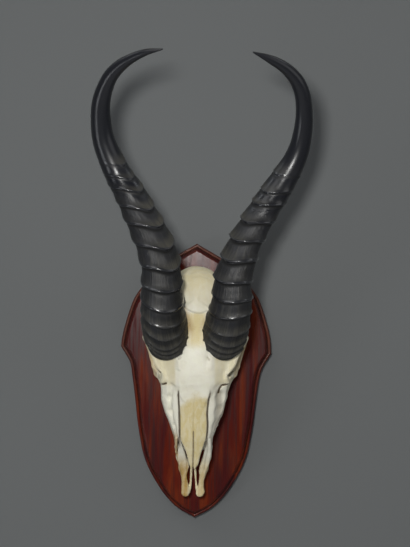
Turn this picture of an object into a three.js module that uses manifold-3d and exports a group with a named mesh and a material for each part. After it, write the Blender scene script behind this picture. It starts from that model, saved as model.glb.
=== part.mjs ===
// Springbok skull with its horns, mounted face outwards on a wooden shield.
//
// Millimetres, +Z up.  The origin is on the shield's flat back, on its middle line and half way up.
// The wall is the plane y = 0, the face looks along -Y, and "depth" is the distance out from the wall.
// "Left" and "right" are the viewer's, for someone who stands in front of the shield.

import * as THREE from "three";
import { mergeVertices } from "three/addons/utils/BufferGeometryUtils.js";
import Module from "manifold-3d";

const wasm = await Module();
wasm.setup();

// ---------------------------------------------------------------- driving dimensions

// shield
const shieldHalfHeight = 130;
const shieldThickness = 20;
const peakSlopeEnd = [22.7, 117];
const shoulderPoints = [[39.5, 104], [53.4, 86.6], [59.3, 77.5], [66, 58.5], [70.3, 41]];
const earReach = 71.5;
const earHeight = { left: 32, right: 26 };
const earUndercut = [[-6, -9.5], [-9, -15.5]];
const flankPoints = [
  [60, 1], [57.5, -18], [54, -46.5], [47.7, -75], [36, -98], [25.5, -112.3], [15, -121.8],
];
// moulded edge, as [inset from the outline, depth]
const mouldedEdge = [[0, 0], [0, 11.5], [2, 13.2], [3, 14.5], [4, 17.5], [6, shieldThickness]];

// skull: depths of the roof of the face along the middle line
const clearance = 0.3;
const palateDepth = 34;
const contactDepth = shieldThickness + clearance;
const faceCentre = -1.2;
const nasalHalfWidth = 11.5;

// stations down the face, as [height, half width, roof depth, floor depth]
const faceStations = [
  [58, 21, 95, 44],
  [42, 20, 97, 40],
  [22, 21, 97.5, 36],
  [8, 29, 94.5, 34],
  [0, 31, 91, 33],
  [-12, 29.4, 86.5, 32],
  [-24, 26.3, 82.5, 31.5],
  [-36, 22.2, 78.5, 31],
  [-48, 18.2, 74.5, 31],
  [-58, 16.6, 69, 32],
  [-69, 15.2, 60, 33.5],
  [-79, 12.6, 53.5, 35],
  [-89, 10.6, 49, 36.5],
  [-97, 10.8, 46, 37.5],
  [-103, 9.8, 44, 38.5],
  [-105, 7.6, 42.5, 39.5],
];
// half of the face's cross-section, as [share of half width, share of height above the floor]
const faceSection = [
  [0, 1], [0.36, 0.985], [0.56, 0.86], [0.8, 0.62], [0.97, 0.36], [1, 0.2], [0.86, 0.03], [0.5, 0],
];

// the roof plate over the eyes, as [height, half width, crown depth, edge depth, underside depth]
const browStations = [
  [2, 27, 93.5, 84, 74],
  [10, 29.5, 96.5, 88, 77],
  [20, 34.5, 98, 89.5, 80],
  [31, 40.5, 98.6, 89, 80],
  [40, 44.5, 99, 88, 78],
  [47, 44, 99, 87.5, 77],
  [54, 37, 98.5, 88.5, 76],
  [64, 28, 98, 86, 72],
  [75, 17, 94, 85, 72],
];
const browSteps = 6;
const browFlatness = 2.4;
const browEdgeSlope = 2;

const braincase = { centre: [0, 75, 64], radii: [29, 34.5, 33] };
// the eye's opening looks sideways, a little down the snout and a little out from the wall
const orbit = { centre: [37, 25, 70], socketRadius: 16.5, rimRadius: 18, rimThickness: 3 };
const orbitFacing = [Math.cos(0.36), -0.26, -Math.sin(0.36)];
const cheekArch = {
  points: [
    [25, 46, -24], [31, 49, -8], [36, 51, 5], [41, 51, 20], [42, 50, 38], [39, 46, 54], [27, 44, 70],
  ],
  halfWidth: 2.8,
  halfHeight: 5,
};
const cheekTeeth = {
  count: 6, firstHeight: 17, pitch: 10.6, x: 20, halfWidth: 4.6, taper: 0.045, gap: 0.8, root: 6,
};
const skullFloor = { centre: [0, 66, 42], radii: [13, 40, 12] };
const bulla = { centre: [15, 76, 31], radii: [8.5, 12, 10.7] };
const condyle = { centre: [9.5, 103, 40], radii: [7, 7.5, 9] };
const nuchalCrest = { centre: [0, 101, 62], radii: [24, 7, 17] };
const foramen = { centre: [0, 106, 47], radii: [7.5, 14, 7.5] };

// the slots of the snout
const tipGap = { halfWidth: 2.1, top: -80, bottom: -110 };
const palateSlot = { x: 5.4, halfWidth: 1.5, top: -72, bottom: -92 };
const nostril = { centre: [faceCentre, -75, 62], radii: [8.4, 20, 17] };
const nasalTip = { top: -46, bottom: -76, rootDepth: 73, tipDepth: 62, thickness: 4.2, point: 0.18 };
const nasalSteps = 5;
const nasalGroove = { x: 12.2, top: -4, bottom: -54, width: 1.2, cut: 5 };

// horns: the middle line of each, as [x, depth, height, half width], from the brow to the tip
const hornBaseTilt = THREE.MathUtils.degToRad(12);
const hornTurnLength = 38;
const hornRoundLength = 188;
const spineDivisions = 400;
const leftSpine = [
  [-25.9, 99, 51, 20.2], [-28.3, 110.5, 65.9, 19], [-29.2, 116, 78.5, 18], [-29.6, 119.5, 95.9, 16.8],
  [-30.9, 121, 111.3, 16.5], [-36.7, 121.5, 128.8, 15.8], [-47.1, 122, 150.2, 14.4],
  [-57.2, 122.6, 169.9, 13.3], [-67.2, 123.9, 185.9, 11.8], [-74.3, 127.3, 200.5, 10.9],
  [-79.6, 132.7, 215.6, 9.9], [-81.3, 140.3, 231.2, 9], [-80.4, 148.1, 244.1, 8.2],
  [-76.7, 155.7, 255.1, 7.2], [-70.8, 163.6, 264.6, 6.4], [-61.7, 171.5, 272.1, 5.4],
  [-52.1, 178.3, 276.6, 4.2], [-41.1, 185.1, 279.8, 3], [-27.8, 190, 281.4, 0.9],
];
const rightSpine = [
  [25.8, 99.4, 51.5, 20.2], [29, 110.5, 65.9, 18.6], [31, 116.1, 79.1, 17.4], [31.9, 119.7, 98.2, 15.9],
  [36.3, 121.1, 112.8, 15.2], [40.5, 121.4, 125.7, 14.1], [49.9, 121.9, 143.8, 13.4],
  [59.1, 122.3, 159.3, 13.1], [68, 122.8, 172.8, 12.7], [76.2, 123.9, 186, 11.7],
  [82.1, 126.2, 196.6, 10.5], [86.9, 130, 208.6, 9.4], [89.6, 136.1, 222.8, 8.5], [89.9, 143.7, 237, 7.6],
  [87.8, 152.3, 250.4, 7], [82.7, 160.3, 260.9, 6.4], [72.9, 169, 270, 5.3], [59.7, 177.3, 276.1, 3.9],
  [44.6, 186.6, 280.3, 0.9],
];
// where each ring stands, as a length along the middle line
const leftRings = [3.6, 6.9, 10.7, 17.8, 24.2, 32.4, 44.7, 62.1, 80.1, 101.5, 117.2, 135.5, 148];
const rightRings = [4.1, 8.6, 13.4, 19.7, 28.1, 36.6, 50.7, 69.5, 87.3, 106, 124.4, 137.4, 152];
const ringRelief = 3;
const ringFade = 0.75;
const ringFadeSpan = [90, 160];
const fullReliefGap = 11;
const lastRingGap = 16;
const smoothSteps = 11;
// half thickness from front to back, as a share of the half width, at the base and at the tip
const hornFrontShare = [1.3, 1];
const hornBackShare = [1.07, 1];
const hornSides = 16;
const pegSides = 10;
const pegSteps = 5;
const pegFoot = 12;
const hollowFoot = 4;
const backRelief = 0.35;
const coreLength = 62;
const coreShare = [0.84, 0.4];

// colours and finishes
const mahogany = new THREE.MeshStandardMaterial({ color: 0x5a1f17, roughness: 0.35, metalness: 0 });
const bone = new THREE.MeshStandardMaterial({ color: 0xe6e0cc, roughness: 0.6, metalness: 0 });
const horn = new THREE.MeshStandardMaterial({ color: 0x26272a, roughness: 0.4, metalness: 0 });

// ---------------------------------------------------------------- shared helpers

const lerp = THREE.MathUtils.lerp;

// A point given by how far right, how far out from the wall and how high it is.
function at(x, depth, height) {
  return new THREE.Vector3(x, -depth, height);
}

// A closed skin over a row of rings that all have the same number of points.
function loft(rings) {
  const sides = rings[0].length;
  const points = rings.flat();
  const index = [];
  for (let r = 0; r + 1 < rings.length; r++) {
    for (let s = 0; s < sides; s++) {
      const a = r * sides + s;
      const b = r * sides + (s + 1) % sides;
      index.push(a, b, b + sides, a, b + sides, a + sides);
    }
  }
  const ends = [{ first: 0, flip: true }, { first: (rings.length - 1) * sides, flip: false }];
  for (const { first, flip } of ends) {
    const middle = new THREE.Vector3();
    for (let s = 0; s < sides; s++) middle.addScaledVector(points[first + s], 1 / sides);
    const hub = points.push(middle) - 1;
    for (let s = 0; s < sides; s++) {
      const a = first + s;
      const b = first + (s + 1) % sides;
      index.push(...(flip ? [hub, b, a] : [hub, a, b]));
    }
  }
  const geometry = new THREE.BufferGeometry().setFromPoints(points);
  geometry.setIndex(index);
  if (signedVolume(geometry) < 0) geometry.index.array.reverse();
  return geometry;
}

function signedVolume(geometry) {
  const place = geometry.getAttribute("position");
  const corner = [0, 1, 2].map(() => new THREE.Vector3());
  let sum = 0;
  for (let i = 0; i < geometry.index.count; i += 3) {
    corner.forEach((c, k) => c.fromBufferAttribute(place, geometry.index.getX(i + k)));
    sum += corner[0].dot(corner[1].clone().cross(corner[2])) / 6;
  }
  return sum;
}

function toSolid(geometry) {
  const bare = geometry.clone();
  bare.deleteAttribute("normal");
  bare.deleteAttribute("uv");
  const welded = mergeVertices(bare, 1e-4);
  const mesh = new wasm.Mesh({
    numProp: 3,
    vertProperties: Float32Array.from(welded.getAttribute("position").array),
    triVerts: Uint32Array.from(welded.index.array),
  });
  return new wasm.Manifold(mesh);
}

function toGeometry(solid) {
  const mesh = solid.getMesh();
  const geometry = new THREE.BufferGeometry();
  geometry.setAttribute("position", new THREE.BufferAttribute(mesh.vertProperties, 3));
  geometry.setIndex(new THREE.BufferAttribute(mesh.triVerts, 1));
  geometry.computeVertexNormals();
  return geometry;
}

function joined(solids) {
  return solids.reduce((sum, solid) => sum.add(solid));
}

function cutBy(solid, tools) {
  return tools.reduce((rest, tool) => rest.subtract(tool), solid);
}

// A ball stretched to three radii, given across, up and out from the wall.
function ellipsoid({ centre, radii }, side = 1, around = 12, rows = 8) {
  const geometry = new THREE.SphereGeometry(1, around, rows);
  geometry.scale(radii[0], radii[2], radii[1]);
  geometry.translate(side * centre[0], -centre[2], centre[1]);
  return toSolid(geometry);
}

function box(xRange, depthRange, heightRange) {
  const size = [xRange, depthRange, heightRange].map(([low, high]) => high - low);
  const middle = [xRange, depthRange, heightRange].map(([low, high]) => (low + high) / 2);
  const geometry = new THREE.BoxGeometry(...size);
  geometry.translate(middle[0], -middle[1], middle[2]);
  return toSolid(geometry);
}

function bothSides(make) {
  return [-1, 1].map(make);
}

// ---------------------------------------------------------------- shield

function halfOutline(side, ear) {
  const flat = ([x, z]) => new THREE.Vector2(x, z);
  const shoulder = [peakSlopeEnd, ...shoulderPoints, [earReach, ear]].map(flat);
  const undercut = earUndercut.map(([dx, dz]) => new THREE.Vector2(earReach + dx, ear + dz));
  const flank = [...flankPoints, [0, -shieldHalfHeight]].map(flat);
  const points = [new THREE.Vector2(0, shieldHalfHeight)];
  points.push(...new THREE.SplineCurve(shoulder).getPoints(9));
  points.push(undercut[0]);
  points.push(...new THREE.SplineCurve([undercut[1], ...flank]).getPoints(14));
  return points.map((p) => new THREE.Vector2(side * p.x, p.y));
}

// The outline moved inwards by the same distance all round.
function inset(outline, distance) {
  const count = outline.length;
  return outline.map((point, i) => {
    const before = point.clone().sub(outline[(i + count - 1) % count]).normalize();
    const after = outline[(i + 1) % count].clone().sub(point).normalize();
    const tangent = before.clone().add(after).normalize();
    const inward = new THREE.Vector2(-tangent.y, tangent.x);
    const stretch = Math.min(1 / Math.max(tangent.dot(after), 0.5), 1.8);
    return point.clone().addScaledVector(inward, -distance * stretch);
  });
}

function makeShield() {
  const right = halfOutline(1, earHeight.right);
  const left = halfOutline(-1, earHeight.left).slice(1, -1).reverse();
  const outline = [...right, ...left];
  const rings = mouldedEdge.map(([step, depth]) => inset(outline, step).map((p) => at(p.x, depth, p.y)));
  return loft(rings);
}

// ---------------------------------------------------------------- horns

function middleLine(spine) {
  const path = new THREE.CatmullRomCurve3(spine.map(([x, depth, height]) => at(x, depth, height)));
  path.arcLengthDivisions = spineDivisions;
  return path;
}

// Half width of the horn at a length along its middle line.
function halfWidthAt(spine, path, length) {
  const lengths = path.getLengths(spineDivisions);
  const last = spine.length - 1;
  const reached = spine.map((_, i) => lengths[Math.round(spineDivisions * i / last)]);
  const next = Math.min(last, Math.max(1, reached.findIndex((reach) => reach >= length)));
  const between = (length - reached[next - 1]) / (reached[next] - reached[next - 1]);
  return lerp(spine[next - 1][3], spine[next][3], Math.min(1, between));
}

// Cross-sections along a horn.  Next to the brow they lie along the bone, and over the first
// stretch they turn until they stand square across the horn.
function hornFrames(spine, side, lengths) {
  const path = middleLine(spine);
  const total = path.getLength();
  const baseNormal = new THREE.Vector3(side * Math.sin(hornBaseTilt), -Math.cos(hornBaseTilt), 0);
  let across = new THREE.Vector3(1, 0, 0);
  return lengths.map((wanted) => {
    const length = Math.min(wanted, total);
    const tangent = path.getTangentAt(length / total);
    const turned = Math.sin(Math.min(1, length / hornTurnLength) * Math.PI / 2);
    const hinge = baseNormal.clone().cross(tangent).normalize();
    const normal = baseNormal.clone().applyAxisAngle(hinge, baseNormal.angleTo(tangent) * turned);
    across = across.clone().addScaledVector(normal, -across.dot(normal)).normalize();
    return {
      centre: path.getPointAt(length / total),
      across,
      towardsBack: normal.clone().cross(across),
      halfWidth: halfWidthAt(spine, path, length),
      length,
    };
  });
}

// One cross-section: fuller in front than behind, with "relief" added where a ring stands out.
function hornRing(frame, scale, relief, sides = hornSides) {
  const ripe = Math.min(1, frame.length / hornRoundLength);
  const front = lerp(hornFrontShare[0], hornFrontShare[1], ripe);
  const back = lerp(hornBackShare[0], hornBackShare[1], ripe);
  const points = [];
  for (let s = 0; s < sides; s++) {
    const angle = 2 * Math.PI * s / sides;
    const frontness = 0.5 - 0.5 * Math.sin(angle);
    const swell = relief * lerp(backRelief, 1, frontness);
    const x = (frame.halfWidth * scale + swell) * Math.cos(angle);
    const reach = frame.halfWidth * (Math.sin(angle) < 0 ? front : back) * scale + swell;
    const point = frame.centre.clone();
    point.addScaledVector(frame.across, x);
    point.addScaledVector(frame.towardsBack, reach * Math.sin(angle));
    points.push(point);
  }
  return points;
}

// Every ring is a step: the horn flares gently down to a crest, then drops back sharply below it.
function hornProfile(ringLengths, total) {
  const marks = [{ length: 0, relief: -0.2 * ringRelief }];
  ringLengths.forEach((length, i) => {
    const gap = (ringLengths[i + 1] ?? length + lastRingGap) - length;
    const fade = 1 - ringFade * THREE.MathUtils.smoothstep(length, ...ringFadeSpan);
    const strength = ringRelief * fade * THREE.MathUtils.clamp(gap / fullReliefGap, 0.45, 1);
    marks.push({ length: length - Math.min(1.2, gap * 0.2), relief: -0.5 * strength });
    marks.push({ length: length + Math.min(0.4, gap * 0.08), relief: 0.5 * strength });
    if (gap > fullReliefGap / 2) marks.push({ length: length + gap * 0.5, relief: 0 });
  });
  const last = marks[marks.length - 1].length;
  for (let i = 1; i <= smoothSteps; i++) {
    marks.push({ length: lerp(last, total, i / smoothSteps), relief: 0 });
  }
  return marks;
}

function hornSkin(spine, side, ringLengths) {
  const marks = hornProfile(ringLengths, middleLine(spine).getLength());
  const frames = hornFrames(spine, side, marks.map((mark) => mark.length));
  return toSolid(loft(frames.map((frame, i) => hornRing(frame, 1, marks[i].relief))));
}

// The bony peg inside the horn, or the hollow it stands in when "room" is added all round.
function hornPeg(spine, side, room) {
  const lengths = Array.from({ length: pegSteps + 1 }, (_, i) => i / pegSteps * (coreLength + room));
  const rings = hornFrames(spine, side, lengths).map((frame, i) => {
    const scale = lerp(coreShare[0], coreShare[1], (i / pegSteps) ** 2);
    return hornRing(frame, scale, room / backRelief, pegSides);
  });
  const sunk = new THREE.Vector3(0, room > 0 ? hollowFoot : pegFoot, 0);
  return toSolid(loft([rings[0].map((point) => point.clone().add(sunk)), ...rings]));
}

// ---------------------------------------------------------------- skull

function faceSolid() {
  const half = faceSection;
  const mirrored = half.slice(1).reverse();
  const rings = faceStations.map(([height, halfWidth, roof, floor]) => {
    const place = ([w, h], side) => at(faceCentre + side * w * halfWidth, lerp(floor, roof, h), height);
    return [...half.map((p) => place(p, 1)), ...mirrored.map((p) => place(p, -1))];
  });
  return toSolid(loft(rings));
}

function browSolid() {
  const rings = browStations.map(([height, halfWidth, crown, edge, underside]) => {
    const top = [];
    const bottom = [];
    for (let i = 0; i <= browSteps; i++) {
      const across = 2 * i / browSteps - 1;
      const fall = Math.abs(across) ** browFlatness;
      top.push(at(across * halfWidth, lerp(crown, edge, fall), height));
      bottom.push(at(-across * (halfWidth - browEdgeSlope), underside, height));
    }
    return [...top, ...bottom];
  });
  return toSolid(loft(rings));
}

// Turns a shape whose axis is +Z so that it looks out of one eye, and sets it there.
function setInOrbit(geometry, side) {
  const [x, y, z] = orbitFacing;
  const facing = new THREE.Vector3(side * x, y, z).normalize();
  geometry.applyQuaternion(new THREE.Quaternion().setFromUnitVectors(new THREE.Vector3(0, 0, 1), facing));
  geometry.translate(side * orbit.centre[0], -orbit.centre[2], orbit.centre[1]);
  return toSolid(geometry);
}

function orbitRim(side) {
  return setInOrbit(new THREE.TorusGeometry(orbit.rimRadius, orbit.rimThickness, 6, 18), side);
}

function eyeSocket(side) {
  const ball = new THREE.SphereGeometry(orbit.socketRadius, 16, 10);
  ball.rotateX(Math.PI / 2);
  ball.scale(1, 1, 1.3);
  ball.translate(0, 0, 3);
  return setInOrbit(ball, side);
}

function cheekArchSolid(side) {
  const points = cheekArch.points.map(([x, depth, height]) => at(side * x, depth, height));
  const route = new THREE.CatmullRomCurve3(points);
  const section = new THREE.Shape();
  section.absellipse(0, 0, cheekArch.halfHeight, cheekArch.halfWidth, 0, 2 * Math.PI);
  const bar = new THREE.ExtrudeGeometry(section, { steps: 10, curveSegments: 3, extrudePath: route });
  return toSolid(bar);
}

function cheekToothRow(side) {
  const teeth = [];
  const { count, firstHeight, pitch, halfWidth, taper, gap, root } = cheekTeeth;
  const halfLength = (pitch - gap) / 2;
  for (let i = 0; i < count; i++) {
    const height = firstHeight - i * pitch;
    const x = side * (cheekTeeth.x - taper * i * pitch);
    const crown = [contactDepth, palateDepth + root];
    teeth.push(box([x - halfWidth, x + halfWidth], crown, [height - halfLength, height + halfLength]));
  }
  return joined(teeth);
}

// The two nasal bones: one long roof that narrows to paired points over the nostril.
function nasalTips() {
  const rings = [];
  for (let i = 0; i <= nasalSteps; i++) {
    const along = i / nasalSteps;
    const height = lerp(nasalTip.top, nasalTip.bottom, along);
    const depth = lerp(nasalTip.rootDepth, nasalTip.tipDepth, along);
    const halfWidth = nasalHalfWidth * lerp(1, nasalTip.point, along ** 1.3);
    const section = [[-1, -2], [0, 1], [1, -2], [0.8, -nasalTip.thickness], [-0.8, -nasalTip.thickness]];
    rings.push(section.map(([share, rise]) => at(faceCentre + share * halfWidth, depth + rise, height)));
  }
  return toSolid(loft(rings));
}

// The nostril, the gap between the two front prongs, and the two slots through the palate.
function snoutCuts() {
  const throughSnout = [palateDepth - 4, nasalTip.rootDepth];
  const slit = (x, { halfWidth, top, bottom }) => {
    return box([x - halfWidth, x + halfWidth], throughSnout, [bottom, top]);
  };
  const slots = bothSides((side) => slit(faceCentre + side * palateSlot.x, palateSlot));
  return [ellipsoid(nostril), slit(faceCentre, tipGap), ...slots];
}

// Depth of the roof of the face at a height, read off its stations.
function roofDepth(height) {
  const next = Math.max(1, faceStations.findIndex(([stationHeight]) => stationHeight <= height));
  const [above, below] = [faceStations[next - 1], faceStations[next]];
  return lerp(above[2], below[2], (above[0] - height) / (above[0] - below[0]));
}

// The open seam along one side of the nasal bones.
function nasalSeam(side) {
  const { top, bottom, width, cut } = nasalGroove;
  const x = faceCentre + side * nasalGroove.x;
  const clear = 9;
  const corners = [
    [top, roofDepth(top) - 1], [top, roofDepth(top) + clear],
    [bottom, roofDepth(bottom) + clear], [bottom, roofDepth(bottom) - cut],
  ];
  const cutFace = (faceX) => corners.map(([height, depth]) => at(faceX, depth, height));
  const rings = [cutFace(x - width / 2), cutFace(x + width / 2)];
  return toSolid(loft(rings));
}

function makeSkull() {
  const bones = [
    faceSolid(),
    browSolid(),
    ellipsoid(braincase, 1, 20, 11),
    ellipsoid(nuchalCrest, 1, 14, 6),
    ellipsoid(skullFloor),
    ...bothSides((side) => orbitRim(side)),
    ...bothSides((side) => cheekArchSolid(side)),
    ...bothSides((side) => cheekToothRow(side)),
    ...bothSides((side) => ellipsoid(bulla, side, 10, 6)),
    ...bothSides((side) => ellipsoid(condyle, side, 8, 6)),
  ];
  const hollows = [
    ...bothSides((side) => eyeSocket(side)),
    ellipsoid(foramen),
    ...snoutCuts(),
    ...bothSides((side) => nasalSeam(side)),
  ];
  const pegs = [hornPeg(leftSpine, -1, 0), hornPeg(rightSpine, 1, 0)];
  return joined([cutBy(joined(bones), hollows), nasalTips(), ...pegs]);
}

// ---------------------------------------------------------------- assembly

const skullSolid = makeSkull();

// A horn sheath: its outer skin, less the hollow for the bony peg and a little room round the skull.
function makeHorn(spine, side, ringLengths) {
  const shifts = [[0, -1, 0], [1, 0, 0], [-1, 0, 0], [0, 0, 1], [0, 0, -1]];
  const grown = joined(shifts.map((shift) => skullSolid.translate(shift.map((s) => s * clearance))));
  return hornSkin(spine, side, ringLengths).subtract(hornPeg(spine, side, clearance)).subtract(grown);
}

const trophy = new THREE.Group();

function addPiece(name, geometry, material) {
  const mesh = new THREE.Mesh(geometry, material);
  mesh.name = name;
  trophy.add(mesh);
}

addPiece("shield", makeShield(), mahogany);
addPiece("skull", toGeometry(skullSolid), bone);
addPiece("left_horn", toGeometry(makeHorn(leftSpine, -1, leftRings)), horn);
addPiece("right_horn", toGeometry(makeHorn(rightSpine, 1, rightRings)), horn);

export default trophy;
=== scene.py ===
"""Springbok skull with ringed horns on a moulded mahogany shield.

Everything is worked out in millimetres and set down in metres.  "Depth" is the distance out from
the wall, so a point is (x, depth, height), and the face looks along -Y.  "Left" and "right" are
the viewer's, for someone who stands in front of the shield.
"""

import math

import bpy
import numpy as np
import openvdb
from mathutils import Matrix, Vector


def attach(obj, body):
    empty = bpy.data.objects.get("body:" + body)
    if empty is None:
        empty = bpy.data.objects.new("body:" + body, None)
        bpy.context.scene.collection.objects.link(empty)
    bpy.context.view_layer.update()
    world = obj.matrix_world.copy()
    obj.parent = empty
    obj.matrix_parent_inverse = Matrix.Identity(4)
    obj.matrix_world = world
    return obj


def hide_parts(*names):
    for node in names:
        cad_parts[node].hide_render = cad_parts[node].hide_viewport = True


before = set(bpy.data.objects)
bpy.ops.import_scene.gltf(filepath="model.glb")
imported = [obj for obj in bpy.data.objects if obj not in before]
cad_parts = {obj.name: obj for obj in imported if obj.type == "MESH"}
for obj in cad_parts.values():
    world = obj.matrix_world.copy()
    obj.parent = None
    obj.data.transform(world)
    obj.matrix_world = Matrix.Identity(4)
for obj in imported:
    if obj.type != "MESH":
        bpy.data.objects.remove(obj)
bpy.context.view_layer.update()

MM = 0.001

# ------------------------------------------------------------------ camera, stage and light

CAMERA_PLACE = (7.8, 1150.0, 101.8)
CAMERA_ROLL = -0.00977
FOCAL_LENGTH = 78.8
SENSOR_LONG_SIDE = 36.0
STAGE_PAINT = {"wall": (0.142, 0.149, 0.151), "floor": (0.6, 0.6, 0.6)}
STAGE_HALF, FLOOR_DROP, WALL_GAP = 4000.0, 900.0, 1.5
ROOM_COLOUR, ROOM_STRENGTH = (0.93, 0.95, 1.0, 1), 0.12


def place(x, depth, height):
    """A point in metres from millimetres across, out from the wall and up."""
    return Vector((x * MM, -depth * MM, height * MM))


def put(name, data):
    """An object in the scene, made from a mesh, a light or a camera."""
    made = bpy.data.objects.new(name, data)
    bpy.context.collection.objects.link(made)
    return made


def make_camera():
    data = bpy.data.cameras.new("camera")
    data.lens = FOCAL_LENGTH
    data.sensor_width = SENSOR_LONG_SIDE
    camera = put("camera", data)
    camera.location = place(*CAMERA_PLACE)
    camera.rotation_euler = (math.pi / 2, CAMERA_ROLL, 0)
    bpy.context.scene.camera = camera


def stage_material(name, colour):
    """Matt paint on the front side only.  It never blocks light, nor a view from behind."""
    material = bpy.data.materials.new(name)
    material.use_nodes = True
    material.node_tree.nodes.clear()
    kit = Nodes(material.node_tree)
    paint = kit.add("BsdfDiffuse")
    kit.feed(paint.inputs["Color"], colour)
    behind = kit.add("NewGeometry").outputs["Backfacing"]
    shadow = kit.add("LightPath").outputs["Is Shadow Ray"]
    one_sided = kit.add("MixShader")
    kit.link(kit.maths("MAXIMUM", behind, shadow), one_sided.inputs["Fac"])
    kit.link(paint.outputs["BSDF"], one_sided.inputs[1])
    kit.link(kit.add("BsdfTransparent").outputs["BSDF"], one_sided.inputs[2])
    kit.link(one_sided.outputs["Shader"], kit.add("OutputMaterial").inputs["Surface"])
    return material


def make_stage():
    """A plain grey wall just behind the shield and a pale floor well below it."""
    left, right, near, back = -STAGE_HALF, STAGE_HALF, STAGE_HALF, -WALL_GAP
    low, high = -FLOOR_DROP, STAGE_HALF
    sheets = {
        "wall": [(left, back, low), (right, back, low), (right, back, high), (left, back, high)],
        "floor": [(left, near, low), (right, near, low), (right, back, low), (left, back, low)],
    }
    for name, corners in sheets.items():
        mesh = bpy.data.meshes.new(name)
        mesh.from_pydata([place(*c) for c in corners], [], [(0, 1, 2, 3)])
        mesh.materials.append(stage_material(name + "_paint", STAGE_PAINT[name]))
        sheet = put(name, mesh)


def make_light(name, at, aim, size, power, colour=(1, 1, 1)):
    data = bpy.data.lights.new(name, "AREA")
    data.shape = "DISK"
    data.size = size * MM
    data.energy = power
    data.color = colour
    light = put(name, data)
    light.location = place(*at)
    light.rotation_mode = "QUATERNION"
    light.rotation_quaternion = (place(*aim) - place(*at)).to_track_quat("-Z", "Y")


def make_lights():
    """A key above and to the left of the camera, and soft fill from above, from the right, from high
    up on both sides, from low on the left towards the horns, and from behind."""
    middle = (0, 80, 80)
    make_light("key", (-77, 1150, 205), middle, 110, 7.6, (1.0, 0.99, 0.965))
    make_light("sky", (-700, 1300, 1500), middle, 1300, 7.0)
    make_light("side", (1300, 800, 300), middle, 1100, 2.2)
    for side in (-1, 1):
        make_light("high_side", (side * 1250, -60, 1500), middle, 600, 3.0, (0.92, 0.96, 1.0))
    left_horn_bend = (-50, 170, 270)
    make_light("low_side", (-1140, 850, -480), left_horn_bend, 400, 2.0, (0.94, 0.97, 1.0))
    make_light("behind", (-300, -1500, 700), middle, 900, 3.0)
    world = bpy.data.worlds.new("room")
    world.use_nodes = True
    background = world.node_tree.nodes["Background"]
    background.inputs["Color"].default_value = ROOM_COLOUR
    background.inputs["Strength"].default_value = ROOM_STRENGTH
    bpy.context.scene.world = world
    bpy.context.scene.view_settings.view_transform = "Standard"


# ------------------------------------------------------------------ mesh helpers


def finish_piece(name, mesh, masks, material, smooth=True):
    """Gives a mesh its point masks, as attributes, its shading and its material."""
    for mask, values in masks.items():
        layer = mesh.attributes.new(mask, "FLOAT", "POINT")
        layer.data.foreach_set("value", np.asarray(values, np.float32))
    if smooth:
        mesh.polygons.foreach_set("use_smooth", np.ones(len(mesh.polygons), bool))
    mesh.update()
    mesh.materials.append(material)
    return put(name, mesh)


def new_piece(name, points, faces, masks, material, smooth=True):
    """A piece made from points in (x, depth, height) millimetres."""
    xyz = np.asarray(points, float) * (MM, -MM, MM)
    mesh = bpy.data.meshes.new(name)
    mesh.from_pydata(xyz.tolist(), [], faces)
    mesh.validate()
    return finish_piece(name, mesh, masks, material, smooth)


def ring_faces(rings, sides, closed_ends=True):
    """Quads between rings of points, all with the same number of sides, and a face over each end
    unless the ends stay open."""
    faces = []
    for r in range(rings - 1):
        low, high = r * sides, (r + 1) * sides
        for s in range(sides):
            n = (s + 1) % sides
            faces.append((low + s, low + n, high + n, high + s))
    if closed_ends:
        faces.append(tuple(range(sides))[::-1])
        faces.append(tuple(range((rings - 1) * sides, rings * sides)))
    return faces


def smoothstep(value, low, high):
    t = np.clip((value - low) / (high - low), 0, 1)
    return t * t * (3 - 2 * t)


def mix(a, b, t):
    return a + (b - a) * t


def spline(points, count):
    """Points spaced along a centripetal Catmull-Rom curve through the given points."""
    p = np.asarray(points, float)
    p = np.vstack([2 * p[0] - p[1], p, 2 * p[-1] - p[-2]])
    gaps = np.maximum(np.linalg.norm(np.diff(p[:, :3], axis=0), axis=1) ** 0.5, 1e-6)
    out = []
    for where in np.linspace(0, len(p) - 3 - 1e-9, count):
        i = int(where) + 1
        t = where + 1 - i
        g0, g1, g2 = gaps[i - 1:i + 2]
        a, b, c, d = p[i - 1:i + 3]
        m1 = ((b - a) / g0 - (c - a) / (g0 + g1)) * g1 + (c - b)
        m2 = ((d - c) / g2 - (d - b) / (g1 + g2)) * g1 + (c - b)
        out.append(b + m1 * t + (3 * (c - b) - 2 * m1 - m2) * t**2 + (2 * (b - c) + m1 + m2) * t**3)
    return np.array(out)


# ------------------------------------------------------------------ shader groups


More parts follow.
